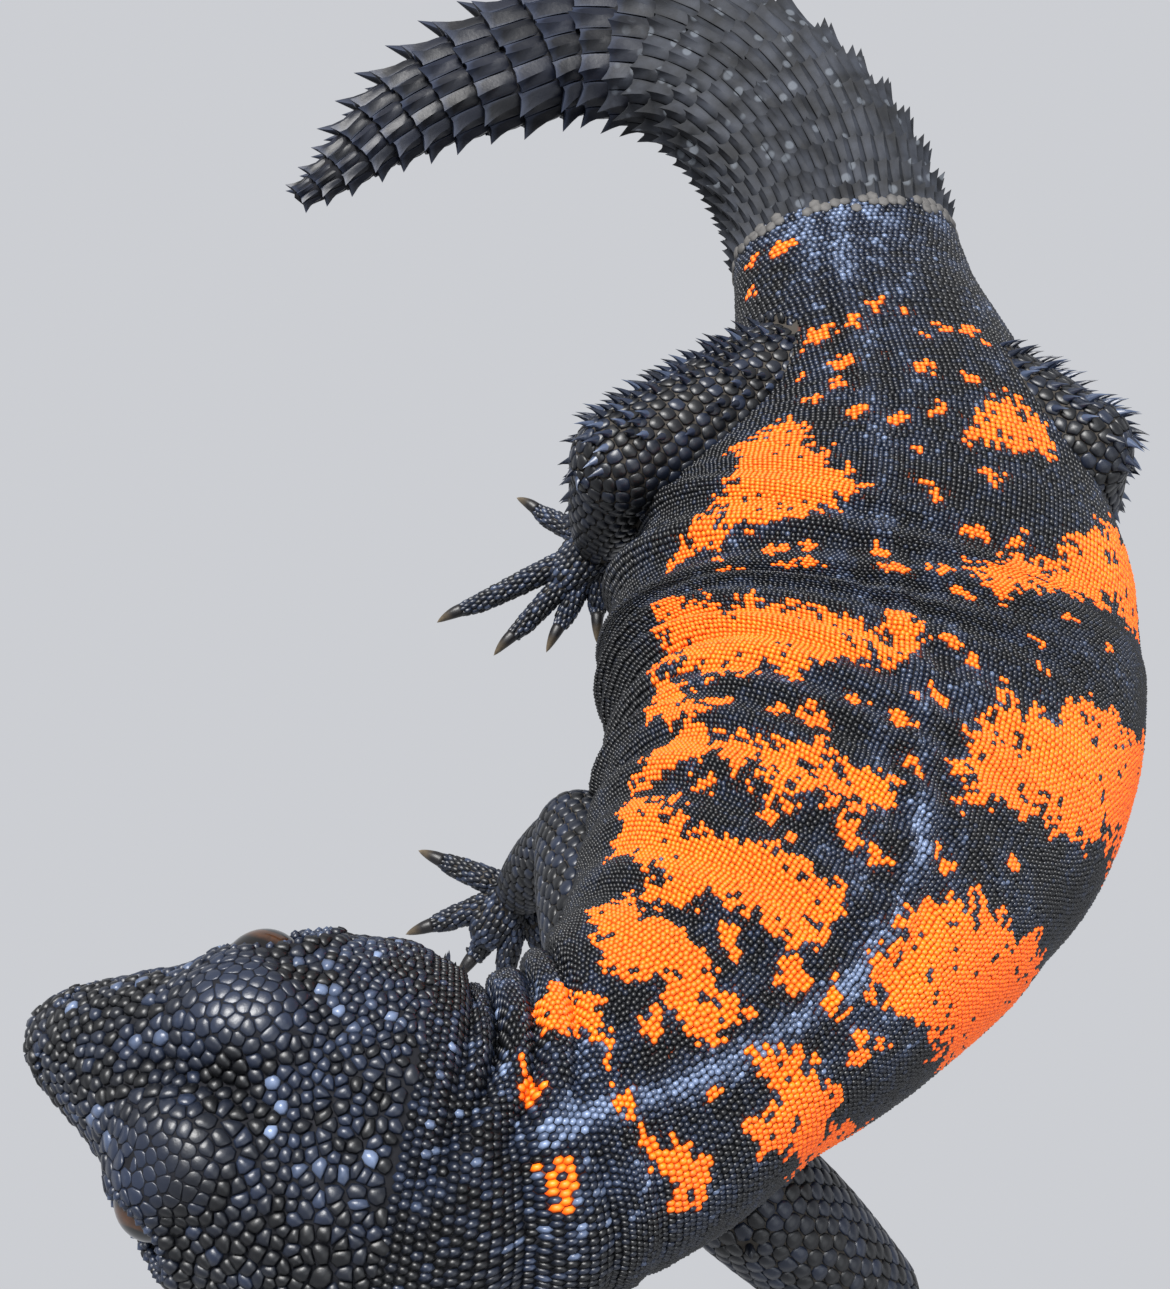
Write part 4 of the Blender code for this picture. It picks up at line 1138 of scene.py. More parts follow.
# %% Rows of the trunk
HEAD_COVER_END = 37.5  # from here back, rows of fine scales take over from the head's plates
RUMP_END = 231
BELLY_PITCH = 1.3
BELLY_EDGE = 0.68  # share round at which the belly's larger scales begin
ROW_STRETCH = 1.13  # a scale's width in shares of the distance between rows
TRUNK_PIECES = (  # name, start, distance between rows; each ends where the next one starts
    ("nape", HEAD_COVER_END, 0.74), ("throat", 45, 0.64), ("neck", 52, 0.55), ("shoulder", 72, 0.55),
    ("chest", 90, 0.57), ("side", 104, 0.60), ("belly", 118, 0.63), ("flank", 133, 0.64),
    ("loin", 149, 0.66), ("hip", 169, 0.76), ("rump", 198, 0.98),
)


def brick_rows(count):
    """Each scale's row and its number within the row, for rows that hold count scales each."""
    row = np.repeat(np.arange(len(count)), count)
    return row, np.arange(count.sum()) - np.repeat(np.cumsum(count) - count, count)


def rows_round(s_rows, pitch, low, high):
    """Distances, shares and widths in shares of scales in brick rows between two shares round."""
    count = np.round((high - low) * half_girth(s_rows) / (ROW_STRETCH * pitch))
    count = np.maximum(count, 4).astype(int)
    row, inside = brick_rows(count)
    q = low + (high - low) * (inside + 0.25 + 0.5 * (row % 2)) / count[row]
    return s_rows[row], q, (high - low) / count[row]


def clear_of_legs(points, gap):
    """Which points lie more than gap outside every leg."""
    held = np.zeros(len(points), bool)
    for part in LIMB_LENGTHS:
        if "toe" not in part.name:
            held |= part.holds(points, -gap)
    return ~held


print("pieces of the trunk's cover:", len(TRUNK_PIECES))

# %% [markdown]
# Tone tells the scales apart where the pattern is dark. Most draw a low one and a few a high one. The
# ridge of the back is paler, a painted highlight, clouds of noise wander over the coat, single pearls lie on
# the nape, and a painted highlight over the rump, patchy at its end, leads into the tail. The flanks and the
# belly stay dark, as painted shade where they turn away from the light.

# %% Scales of the trunk
LEG_GAP = 0.9  # orange scales stay this far from a leg, where they would poke through its cover
BACK_RISE, BELLY_RISE = 0.34, 0.2  # mm
ROW_JITTER, SIDE_JITTER = 0.07, 0.05  # shares of a row's pitch and of a scale's width


def trunk_tone(s, q, v):
    """Painted highlight on ridge and rump, clouds and pearls, added up and faded towards the belly as painted
    shade.
    """
    off = np.abs(v - np.interp(s, RIDGE_S, RIDGE_V))
    # Paler along the ridge, strongest near the neck: a painted highlight.
    ridge_highlight = (bump(off, 0, 1.7) + 0.5 * bump(off, 6.0, 1.6)) * ramp(s, 40, 52)
    ridge_highlight = ridge_highlight * (0.5 + 0.5 * ramp(s, 120, 90))
    patchy = noise(s / 5, v / 5, 11) + 0.6 * noise(s / 1.7, v / 1.7, 12) - 0.8
    # Paler over the rump and patchy towards the tail: a painted highlight.
    rump = bump(s, 219, 13) * bump(v, 4, 13) + 1.6 * ramp(s, 221, 227) * noise(s / 1.3, v / 1.3, 15)
    pearls = (RANDOM.random(len(s)) > 0.9) * ramp(s, 66, 46)
    tone = 0.7 * RANDOM.beta(1.3, 4, len(s)) + 0.55 * ridge_highlight + 0.4 * patchy + 0.3 * rump + 0.4 * pearls
    # Lower tones on flanks and belly: painted shade.
    return np.clip(tone * (0.35 + 0.65 * ramp(np.abs(q), 0.6, 0.25)), 0, 1)


def trunk_scales(name, start, end, pitch, low, high, rise):
    """Beads in even rows from start to end, between two shares round."""
    rows = round((end - start) / pitch)
    pitch = (end - start) / rows
    s, q, share = rows_round(start + (np.arange(rows) + 0.5) * pitch, pitch, low, high)
    s = s + RANDOM.normal(0, ROW_JITTER * pitch, len(s))
    q = q + RANDOM.normal(0, SIDE_JITTER, len(s)) * share
    place, ahead, across, out = surface_frames(under_scales, s, q)
    side, up = body_sides(s, q)
    shown = clear_of_legs(place, 0.0) & ((ear_distance(s, up) > 2.4) | (np.abs(side) < 12) | (s > 48))
    s, q, share, place, ahead, across, out = (x[shown] for x in (s, q, share, place, ahead, across, out))
    length = np.linalg.norm(ahead, axis=1) * pitch
    width = np.linalg.norm(across, axis=1) * share
    v = q * half_girth(s)
    orange = ((orange_at(s, v) > 0) & clear_of_legs(place, LEG_GAP)).astype(float)
    tone = trunk_tone(s, q, v)
    rise = rise * (0.8 + 0.4 * RANDOM.random(len(s)))
    points = copies(BEAD, place, unit(ahead), unit(across), out, length, width, rise, 0.2)
    make_scales(name, BEAD, points, body_unwrap(s, q), orange, tone)


PIECE_ENDS = [start for _, start, _ in TRUNK_PIECES[1:]] + [RUMP_END]
for (part_name, start, pitch), end in zip(TRUNK_PIECES, PIECE_ENDS):
    trunk_scales(f"scales_{part_name}", start, end, pitch, -BELLY_EDGE, BELLY_EDGE, BACK_RISE)
trunk_scales("scales_underside", HEAD_COVER_END, RUMP_END, BELLY_PITCH, BELLY_EDGE, 2 - BELLY_EDGE,
             BELLY_RISE)

# %% [markdown]
# The head wears larger, rounded plates of many sizes, fitted close like cobbles. They are first strewn
# loosely, then pushed apart until their spacing is even, which looks grown and not ruled. Some sit at a
# given height on the head's side, such as the lips', so their share round is worked out from the height.

# %% Places on the head
HEAD_STEPS = (0.3, 0.01)  # how far ahead and aside the head's surface is looked at
RELAX_END = 43  # mm from the snout, past which no plate is pushed


def share_at(s, up, sign):
    """Share round at which the outline reaches a height, on the right for sign 1 and the left for -1."""
    _, rise, drop = girths(s)
    tall = np.where(up > 0, rise, drop)
    level = np.arcsin(np.clip(np.sign(up) * (np.abs(up) / tall) ** (SQUARENESS / 2), -1, 1))
    return share_of(s, np.where(sign < 0, level, math.pi - level))


def steps_to_nearest(place, count):
    """Steps from every point to each of its nearest neighbours."""
    gaps = ((place[:, None] - place[None]) ** 2).sum(-1)
    np.fill_diagonal(gaps, 1e9)
    nearest = np.argpartition(gaps, count, axis=1)[:, :count]
    return place[nearest] - place[:, None]


def relax(s, q, spacing, rounds):
    """Pushes scales apart over the surface until their spacing is even, though not regular."""
    for _ in range(rounds):
        place, ahead, across, _ = surface_frames(body_skin, s, q, *HEAD_STEPS)
        step = -steps_to_nearest(place, 8)
        distance = np.linalg.norm(step, axis=2) + 1e-6
        push = (step * (np.maximum(spacing[:, None] - distance, 0) / distance)[..., None]).sum(axis=1) * 0.3
        s = np.clip(s + (push * ahead).sum(-1) / (ahead ** 2).sum(-1), 0.8, RELAX_END)
        q = (q + (push * across).sum(-1) / (across ** 2).sum(-1) + 1) % 2 - 1
    return s, q


print("share round at the mouth, right: %.2f" % share_at(np.array([20.0]), np.zeros(1), 1)[0])

# %% [markdown]
# The outline of a plate is found from its neighbours: in ten directions it reaches half way to the
# nearest of them. Each plate stands on the skin below the solids' surface, with its length along the
# body, and takes its colour from the pattern at its own place.

# %% Fitting plates together
CELL_NEIGHBOURS = 13
LEAST_REACH = 0.25  # the least that a plate reaches, in shares of the most


def cell_reach(place, ahead, across, most):
    """How far a plate can spread in each direction before it meets half way to one of its neighbours."""
    step = steps_to_nearest(place, CELL_NEIGHBOURS)
    x, y = (step * ahead[:, None]).sum(-1), (step * across[:, None]).sum(-1)
    turn = np.arange(CELL_SIDES) * 2 * np.pi / CELL_SIDES
    towards = x[..., None] * np.cos(turn) + y[..., None] * np.sin(turn)
    half = ((x ** 2 + y ** 2) / 2)[..., None]
    reach = np.where(towards > 1e-3, half / np.maximum(towards, 1e-3), most).min(axis=1)
    reach = np.clip(reach, LEAST_REACH * most, most)
    return np.concatenate([np.tile(reach, (1, 3)), np.ones((len(place), 1))], axis=1)


def place_on_head(name, s, q, length, width, rise, tone, shape=DOME, kept=slice(None), most=None):
    """One piece of the head's scales; with most, fitted to all neighbours before only kept ones stay."""
    place, ahead, across, out = surface_frames(under_scales, s, q, *HEAD_STEPS)
    ahead, across = unit(ahead), unit(across)
    across = unit(across - ahead * (ahead * across).sum(-1, keepdims=True))
    reach = 1.0 if most is None else cell_reach(place, ahead, across, most)
    points = copies(shape, place, ahead, across, out, length, width, rise, 0.0, reach)
    orange = (orange_at(s, q * half_girth(s)) > 0).astype(float)
    make_scales(name, shape, points[kept], body_unwrap(s, q)[kept], orange[kept], tone[kept])


print("corners that reach out in a plate:", 3 * CELL_SIDES)

# %% [markdown]
# Plates are low and smooth on the two domes over the eyes, larger between them, and finer on cheeks and
# nape. The strip along the mouth and the openings stay free for plates of their own.

# %% Plates of the head
LIP_HEIGHT, LIP_END = 2.0, 29.5  # the strip that the lip plates take
EYE_CLEAR, EAR_CLEAR, NOSTRIL_CLEAR = 3.9, 2.5, 1.2  # distances that plates keep from the openings
CELL_MOST = 1.5  # mm that a plate reaches from its middle at most
HEAD_PITCH, HEAD_RISE = 1.05, 0.46  # mm
RELAX_ROUNDS = 8


def head_cover():
    """Loosely placed scales, relaxed, each filling its own cell; finer on the cheeks and the nape."""
    step = np.concatenate([np.arange(1.0, 8, 1.15), np.arange(8.2, 30, 1.3), np.arange(30, 42, 0.95)])
    s, q, share = rows_round(step, HEAD_PITCH, -1, 1)
    s = s + RANDOM.normal(0, 0.4, len(s))
    q = q + RANDOM.normal(0, 0.35, len(s)) * share
    side, up = body_sides(s, q)
    middle = bump(side, 0, 5) * bump(s, 20, 12) * (up > 0)
    s, q = relax(s, q, 1.28 + 0.3 * middle - 0.36 * ramp(s, 25, 37), RELAX_ROUNDS)
    side, up = body_sides(s, q)
    wide = np.abs(side)
    eye, ear = eye_distance(s, up) + 9 * (wide < 7), ear_distance(s, up) + 9 * (wide < 12)
    kept = (eye > EYE_CLEAR) & (ear > EAR_CLEAR) & (nostril_distance(s, side, up) > NOSTRIL_CLEAR)
    kept &= ~((np.abs(up) < LIP_HEIGHT) & (s < LIP_END)) & (s < HEAD_COVER_END)
    dome = dome_share(s, side) * (up > 2)
    middle = bump(side, 0, 4) * bump(s, 24, 12)
    rise = HEAD_RISE * (1 - 0.85 * dome) * (0.7 + 0.6 * RANDOM.random(len(s))) * (1 + 0.3 * middle)
    tone = 0.5 * RANDOM.random(len(s)) ** 1.8 + 0.35 * (RANDOM.random(len(s)) > 0.93)
    # The domes over the eyes take one paler tone: a painted sheen on them.
    tone = 0.05 + tone * (1 - dome) + 0.35 * dome + 0.5 * (noise(s / 5, 9 * q, 14) - 0.55)
    place_on_head("scales_head", s, q, 1.0, 1.0, rise, np.clip(tone, 0, 1), CELL, kept, CELL_MOST)


head_cover()

# %% [markdown]
# A row of lip plates runs above the mouth and one below it, on both sides. Rings of granules border the
# openings: two round each eye, one round each ear and each nostril. A ring is an ellipse on the side of
# the head, and its granules sit at even angles.

# %% Lips and granules
LIP_UP = 1.25  # mm of a row's middle above or below the mouth
LIP_SIZE = (1.62, 1.6, 0.55)  # mm long, wide and high
GRANULE_TURN = np.radians(np.arange(0, 360, 15.0))
GRANULE_RINGS = (  # opening, reach along and up, granule's size, their angles
    (EYE, 2.85 * EYE_LONG, 2.85 * EYE_TALL, 0.86, GRANULE_TURN),
    (EYE, 3.6 * EYE_LONG, 3.6 * EYE_TALL, 0.86, GRANULE_TURN + 0.13),
    (EAR, 2.5 * EAR_LONG, 2.5 * EAR_TALL, 0.8, GRANULE_TURN),
    (NOSTRIL, 1.05, 1.05, 0.75, GRANULE_TURN[::3]),
)


def lip_plates():
    """Domes at even distances in four rows, which meet at the snout."""
    s = np.arange(1.2, 30.5, 1.35)
    up, sign = (np.repeat(x, len(s)) for x in (LIP_UP * np.array([1, -1, 1, -1]), [1, 1, -1, -1]))
    s = (s + 0.3 * np.arange(4)[:, None]).ravel()
    q = share_at(s, up * np.interp(s, [0, 4], [0.5, 1.0]), sign)
    place_on_head("lip_plates", s, q, *LIP_SIZE, 0.2 + 0.3 * RANDOM.random(len(s)))


def rings_of_granules():
    """Granules along the edge of each eye's opening, each ear and each nostril."""
    rings = [(opening["s"] + long * np.cos(turn), opening["up"] + tall * np.sin(turn), sign + 0 * turn,
              size + 0 * turn) for sign in (-1, 1) for opening, long, tall, size, turn in GRANULE_RINGS]
    s, up, sign, size = (np.concatenate(column) for column in zip(*rings))
    q = share_at(s, up, sign)
    place_on_head("lid_granules", s, q, size, size * 0.9, 0.5, 0.3 + 0.3 * RANDOM.random(len(s)))


lip_plates()
rings_of_granules()

# %% [markdown]
# The scales of a leg lie in brick rows too, round each length. Where one length runs into another or
# into the body, its scales are left out, so that nothing is buried. How deep a scale may lie before it
# goes is about half its own size, so the cover still closes at the joints.

# %% Places on the legs
BURIED = 0.55  # depth at which a scale is left out, in shares of its row's pitch
ANKLE_OVERLAP = 1.3  # mm that a lower limb's scales run on over the hand or foot
LIMB_STEPS = (0.2, 0.006)  # how far ahead and aside a limb's surface is looked at


def limb_rows(part, pitch):
    """Distances and shares of scales in brick rows on a length of limb."""
    rows = max(2, round(part.total / pitch))
    a_rows = (np.arange(rows) + 0.5) * part.total / rows
    radius = np.maximum(np.interp(a_rows, part.walk, part.pr), 0.3)
    count = np.maximum(np.round(2 * np.pi * radius / pitch), 5).astype(int)
    row, inside = brick_rows(count)
    return a_rows[row], (inside + 0.5 * (row % 2)) / count[row], 1 / count[row]


def shown_on_limb(part, siblings, points, depth):
    """Leaves out what lies deeper than depth in the body or in another length of the same limb."""
    shown = np.ones(len(points), bool)
    for other in siblings:
        if other is not part:
            shown &= ~other.holds(points, depth)
    near = np.nonzero(shown)[0]
    _, _, outside = body_place(points[near])
    shown[near[outside < -depth]] = False
    return shown


def limb_places(part, siblings, pitch, jitter):
    """Which of a limb's scales show, and where all of them sit, with their directions."""
    a, q, share = limb_rows(part, pitch)
    a = a + RANDOM.normal(0, jitter * pitch, len(a))
    q = q + RANDOM.normal(0, jitter, len(a)) * share
    place, ahead, across, out = surface_frames(lambda x, y: part.skin(x, y, -SKIN_DEPTH), a, q, *LIMB_STEPS)
    width = np.linalg.norm(across, axis=1) * share
    shown = shown_on_limb(part, siblings, place, BURIED * pitch)
    if part is siblings[1]:
        shown &= np.interp(a, part.walk, part.px) < part.x[-1] + ANKLE_OVERLAP
    root = limb_unwrap(LIMB_INDEX[part.name], a / part.total, q % 1.0)
    return shown, (place, unit(ahead), unit(across), out, width, root)


print("scales in rows on the right thigh:", len(limb_rows(LIMBS["leg_right"][0], 2.3)[0]))

# %% [markdown]
# Arms, thighs and shanks are covered with flat tiles about 2 mm across, each fitted to its neighbours,
# with a thin line of skin between them. On the hind legs many tiles carry a thorn, the more the further
# they face up and out. Feet and toes have overlapping shingles.

# %% Scales of the legs
SPINY_SIDES = {"leg_right": (-0.5, 0.6, 0.6), "leg_left": (0.6, 0.6, 0.5)}  # where the thorns face
ARM_PITCH, LEG_PITCH, SHANK_LESS = 2.0, 2.3, 0.2  # mm between tiles
FOOT_PITCH, TOE_PITCH = 1.35, 1.2
TILE_RISE, FOOT_RISE, TOE_RISE = 0.34, 0.45, 0.42
TILE_MOST = 0.8  # a tile's reach from its middle at most, in shares of the pitch
TILE_JITTER, SHINGLE_JITTER = 0.08, 0.06  # in shares of the pitch
THORN_EDGE = 50  # degrees over which an edge of a thorn stays hard


def shingles(part, siblings, pitch, rise):
    """Overlapping scales of one limb length."""
    shown, places = limb_places(part, siblings, pitch, SHINGLE_JITTER)
    place, ahead, across, out, width, root = (x[shown] for x in places)
    tone = 0.1 + 0.5 * RANDOM.random(len(place)) ** 1.5
    rises = rise * (0.85 + 0.3 * RANDOM.random(len(place)))
    points = copies(SHINGLE, place, ahead, across, out, pitch * 1.15, width * 1.05, rises)
    make_scales(f"scales_{part.name}", SHINGLE, points, root, tone=tone)


def tiles(part, siblings, pitch, spiny):
    """Flat scales that fit against each other, and thorns on the side that faces the spiny way."""
    shown, places = limb_places(part, siblings, pitch, TILE_JITTER)
    reach = cell_reach(*places[:3], TILE_MOST * pitch)[shown]
    place, ahead, across, out, _, root = (x[shown] for x in places)
    tone = 0.03 + 0.42 * RANDOM.random(len(place)) ** 1.6
    points = copies(CELL, place, ahead, across, out, 1.0, 1.0, TILE_RISE, 0.25, reach)
    make_scales(f"scales_{part.name}", CELL, points, root, tone=tone)
    if spiny is not None:
        thorns(part, pitch, place, ahead, across, out, root, out @ unit(np.array(spiny)))


def thorns(part, pitch, *places):
    """A thorn on the rear of many tiles, taller where the tile faces the spiny way more squarely."""
    facing = places[-1]
    thorny = (facing > 0.2) & (RANDOM.random(len(facing)) < 0.1 + 0.6 * facing)
    place, ahead, across, out, root, facing = (x[thorny] for x in places)
    tall = (0.9 + 1.6 * np.clip(facing, 0, 1)) * RANDOM.uniform(0.7, 1.15, len(place))
    base = place + ahead * 0.10 * pitch + out * 0.15
    points = copies(THORN, base, ahead, across, out, 0.95 * pitch, 0.9 * pitch, tall, 0.30)
    tone = 0.2 + 0.5 * RANDOM.random(len(place))
    make_scales(f"thorns_{part.name}", THORN, points, root, tone=tone, sharp=THORN_EDGE)


for leg_name, lengths in LIMBS.items():
    upper, lower, foot, *toes = lengths
    spiny = SPINY_SIDES.get(leg_name)
    pitch = ARM_PITCH if spiny is None else LEG_PITCH
    tiles(upper, lengths, pitch, spiny)
    tiles(lower, lengths, pitch - SHANK_LESS, spiny)
    shingles(foot, lengths, FOOT_PITCH, FOOT_RISE)
    for toe in toes:
        shingles(toe, lengths, TOE_PITCH, TOE_RISE)

# %% [markdown]
# The tail is ringed with whorls of large plates. They are short at the vent, longest in the middle and
# short again at the tip, and they are widest halfway down the tail. Every other ring is shifted below.

# %% Whorls of the tail
WHORLS = 22
PLATE_WIDTH = ((229, 2.3), (262, 2.8), (286, 4.0), (300, 5.2), (334, 4.6), (352, 3.4), (365, 2.4), (379, 1.4))
UPPER_SHARE = 0.62  # share round to which the upper plates reach
LOWER_WIDTH = 0.62  # width of the plates below, in shares of those above


def whorl_edges():
    """Where each ring of plates starts and ends: short at the vent, long in the middle, short again."""
    x = np.arange(WHORLS) / (WHORLS - 1)
    length = 5.1 + 3.7 * np.sin(math.pi * x ** 1.1) ** 1.3 - 0.6 * x
    ends = VENT + np.cumsum(length) * (TAIL_END - VENT) / length.sum()
    return np.concatenate([[VENT], ends])


def plate_places():
    """Start, end, middle share and half share of every plate, and 1 for those below."""
    edges = whorl_edges()
    rows = []
    for k, (start, end) in enumerate(zip(edges[:-1], edges[1:])):
        middle = 0.5 * (start + end)
        wide = np.interp(middle, *np.array(PLATE_WIDTH).T)
        for low, high, below in ((-UPPER_SHARE, UPPER_SHARE, 0), (UPPER_SHARE, 2 - UPPER_SHARE, 1)):
            width = wide * (LOWER_WIDTH if below else 1.0)
            count = max(3, int(round((high - low) * half_girth(middle) / width)))
            half = (high - low) / count / 2
            shift = 0.5 * (k % 2) * half * below
            rows += [(start, end, low + (2 * j + 1) * half + shift, half, below) for j in range(count)]
    return np.array(rows)


PLACES = plate_places()
print("tail plates:", len(PLACES))

# %% [markdown]
# A plate starts low at its front, rises towards its rear edge and ends in a spine that leans back and
# out. The spines are longest along the tail's two sides, but shorter on the inside of its bend, and a
# lower keel runs down each plate's middle. A plate is a small curved grid laid on the body's surface, so
# it follows the tail's bend. A second grid deep in the skin gives its underside, and walls join the two.

# %% Shape of the plates
GRID_LONG, GRID_WIDE = 5, 7  # points along and across a plate
FRONT_DEPTH, UNDER_DEPTH = 0.45, 1.1  # mm below the surface: a plate's front edge, its underside
SIDE_SPINE, BACK_SPINE = (0.50, 0.20), (0.12, 0.14)  # length in plates at the root, and more at the rear
INNER_LESS = 0.45  # how much shorter the spines are on the inside of the bend


def plate_grids(place):
    """Points of all plates' curved tops, and of the same grid sunk deep in the skin."""
    start, end, q, half, below = (place[:, i][:, None, None] for i in range(5))
    t = np.linspace(0, 1, GRID_LONG)[None, :, None]
    w = np.linspace(-1, 1, GRID_WIDE)[None, None, :]
    upper, long = 1 - below, end - start
    s = start + long * (t * (1.0 + RANDOM.normal(0, 0.035, start.shape)) + 0.01 + 0.03 * w ** 2 * t)
    s = np.minimum(s, TAIL_END)
    share = q + half * w * (0.97 - 0.07 * (1 - t))
    size = np.sqrt(np.interp(start, ALONG, GIRTH_FINE[:, 0]) / 18)
    rear = ramp(start, 262, 300)
    keel = (0.30 + 0.45 * rear) * size * bump(w, 0, 0.26) * (0.25 + 0.75 * t) * upper
    lift = -FRONT_DEPTH + size * (0.45 + 0.85 * (0.6 + 0.4 * rear) * upper) * t ** 1.4 + keel
    lift = lift - 0.28 * np.abs(w) ** 6 * upper - 0.35 * (t < 0.1)
    points = body_skin(s, share, lift)
    points = points + spines(place, points, rear[:, 0, 0])
    points[..., 2] = np.maximum(points[..., 2], FLOOR_GAP)
    return points, body_skin(s, share, -UNDER_DEPTH)


def spines(place, points, rear):
    """How far each point of the grids is drawn out, back and away from the tail, to form the spines."""
    start, end, q, _, below = place.T
    centre, back, _, _ = body_frame(np.minimum(end, TAIL_END))
    q, upper = (q + 1) % 2 - 1, 1 - below
    at_side, at_back = (base + more * rear for base, more in (SIDE_SPINE, BACK_SPINE))
    reach = at_side * bump(np.abs(q), 0.47, 0.16) + at_back * bump(q, 0, 0.33)
    reach = (end - start) * reach * (1 - INNER_LESS * (q > 0.15)) * upper
    reach = reach * RANDOM.uniform(0.8, 1.2, len(q)) + 0.15 * below
    out = unit(points[:, GRID_LONG - 2, GRID_WIDE // 2] - centre)
    tip = reach[:, None] * (0.72 * back + 0.62 * out * upper[:, None])
    drawn = np.zeros((GRID_LONG, GRID_WIDE))
    drawn[-1] = [0, 0, 0.34, 1, 0.34, 0, 0]
    drawn[-2] = [0, 0, 0.05, 0.32, 0.05, 0, 0]
    return drawn[None, :, :, None] * tip[:, None, None, :]


def plate_faces():
    """Quads of the top, walls round its edge, and one face below, as point numbers of one plate."""
    n, m = GRID_LONG, GRID_WIDE
    i, j = (x.ravel() for x in np.meshgrid(np.arange(n - 1), np.arange(m - 1), indexing="ij"))
    top = np.stack([i * m + j, i * m + j + m, i * m + j + m + 1, i * m + j + 1], axis=1).tolist()
    edge = list(range(m)) + [i * m + m - 1 for i in range(1, n)]
    edge += [(n - 1) * m + j for j in range(m - 2, -1, -1)] + [i * m for i in range(n - 2, 0, -1)]
    count = len(edge)
    low = [n * m + k for k in range(count)]
    walls = [[edge[k], edge[(k + 1) % count], low[(k + 1) % count], low[k]] for k in range(count)]
    return top + walls + [low], edge


print("faces a plate:", len(plate_faces()[0]))

# %% [markdown]
# The fresh plates are a glossy blue-black, with a painted sheen of paler blue-grey on their rear and side
# edges.
# Near the tail's root they are still covered by dull old skin with round pale stains, which a Voronoi pattern
# gives, and the edges of its plates are darkened as painted shade. Noise makes the border between the two
# ragged.

# %% The tail plates and their finish
PLATE_EDGE = 35  # degrees over which an edge of a plate stays hard


def plate_finish():
    made = Finish("tail_plates", Specular_IOR_Level=0.22)
    rim, tone, shed = (made.attribute(n) for n in ("rim", "tone", "shed"))
    cloud, fine = made.noise(180, 4), made.noise(1400)
    stains = made.node("ShaderNodeTexVoronoi", None, {
        "Vector": made.node("ShaderNodeTexCoord", output="Object"), "Scale": 230.0})
    dark = made.mix(tone, colour(3, 4, 8), colour(12, 16, 28))
    # Rear and side edges of the fresh plates paler: a painted sheen.
    dark = made.mix(made.spread(rim, 0.5, 1.0, 0.0, 0.2), dark, colour(70, 80, 104))
    dull = made.mix(made.spread(cloud, 0.35, 0.65), colour(14, 16, 20), colour(40, 43, 50))
    # Edges of the old skin's plates darker: painted shade between the plates.
    dull = made.mix(made.spread(rim, 0.3, 1.0, 0.0, 0.5), dull, colour(10, 11, 14))
    dull = made.mix(made.spread(stains, 0.24, 0.16, 0.0, 0.3), dull, colour(112, 118, 126))
    made.set(Base_Color=made.mix(made.spread(shed + (cloud - 0.5) * 0.8, 0.35, 0.65), dark, dull))
    made.set(Roughness=made.spread(shed, 0, 1, 0.42, 0.72))
    made.bump(fine, 0.25, 0.00015)
    return made.material


def tail_plates(place):
    """All plates as one piece, with rims weighted for painted sheen and painted shade, and old skin where the
    upper ones are near the root.
    """
    points, under = plate_grids(place)
    faces, edge = plate_faces()
    count = len(points)
    every = np.concatenate([points.reshape(count, -1, 3), under.reshape(count, -1, 3)[:, edge]], axis=1)
    each = every.shape[1]
    flat = np.concatenate([np.array(f) for f in faces])
    corners = (flat[None, :] + each * np.arange(count)[:, None]).ravel()
    t, w = (x.ravel() for x in np.meshgrid(np.linspace(0, 1, GRID_LONG), np.linspace(-1, 1, GRID_WIDE),
                                           indexing="ij"))
    # Rear edge, sides and keel: where the plate finish paints sheen and shade.
    rim = np.clip(t ** 5 + 0.7 * np.abs(w) ** 6 + 0.3 * bump(w, 0, 0.2), 0, 1)
    rim = np.concatenate([rim, np.zeros(len(edge))])
    spot = np.stack([t, w], axis=1)
    spot = np.concatenate([spot, spot[edge]])[flat] * PATCH_SIZE * 0.5
    root = body_unwrap(place[:, 0], (place[:, 2] + 1) % 2 - 1)
    values = dict(rim=np.tile(rim, count), tone=np.repeat(RANDOM.random(count), each),
                  shed=np.repeat(ramp(place[:, 0], 308, 280) * (1 - place[:, 4]), each))
    make_piece("tail_plates", every, np.tile([len(f) for f in faces], count), corners, plate_finish(),
               root[:, None] + spot[None], values, PLATE_EDGE)


tail_plates(PLACES)

# %% [markdown]
# The old skin ends in a torn edge at the tail's root. Two rows of thin, dull flakes lie there, turned
# round so that they point forward over the rump, and about two in five of them are missing.

# %% Edge of the old skin
SHED_ROWS, SHED_PITCH = (229.6, 230.6), 1.5


def old_skin_finish():
    made = Finish("old_skin", Roughness=0.75)
    made.set(Base_Color=made.mix(made.noise(900), colour(26, 26, 28), colour(84, 82, 80)))
    return made.material


def shed_edge():
    """Shingles of uneven length that lean down to the rump."""
    s, q, share = rows_round(np.array(SHED_ROWS), SHED_PITCH, -UPPER_SHARE, UPPER_SHARE)
    kept = RANDOM.random(len(s)) < 0.6
    s, q, share = s[kept] + RANDOM.normal(0, 0.4, kept.sum()), q[kept], share[kept]
    place, ahead, across, out = surface_frames(body_skin, s, q)
    width = np.linalg.norm(across, axis=1) * share * 1.2
    long = 1.2 + 1.3 * RANDOM.random(len(s))
    thick = 0.18 + 0.2 * RANDOM.random(len(s))
    points = copies(SHINGLE, place, -unit(ahead), -unit(across), out, long, width, thick, -0.8)
    make_scales("shed_edge", SHINGLE, points, body_unwrap(s, q), finish=old_skin_finish())


shed_edge()

# %% [markdown]
# An eye is a ball seen through the opening in the lids: dark brown, with a round black pupil and a wet
# gloss. Each point of the ball knows how far it lies towards the pupil, and the finish draws the rings
# of pupil, iris and dark rim from that. Each eye takes the place of its own solid.

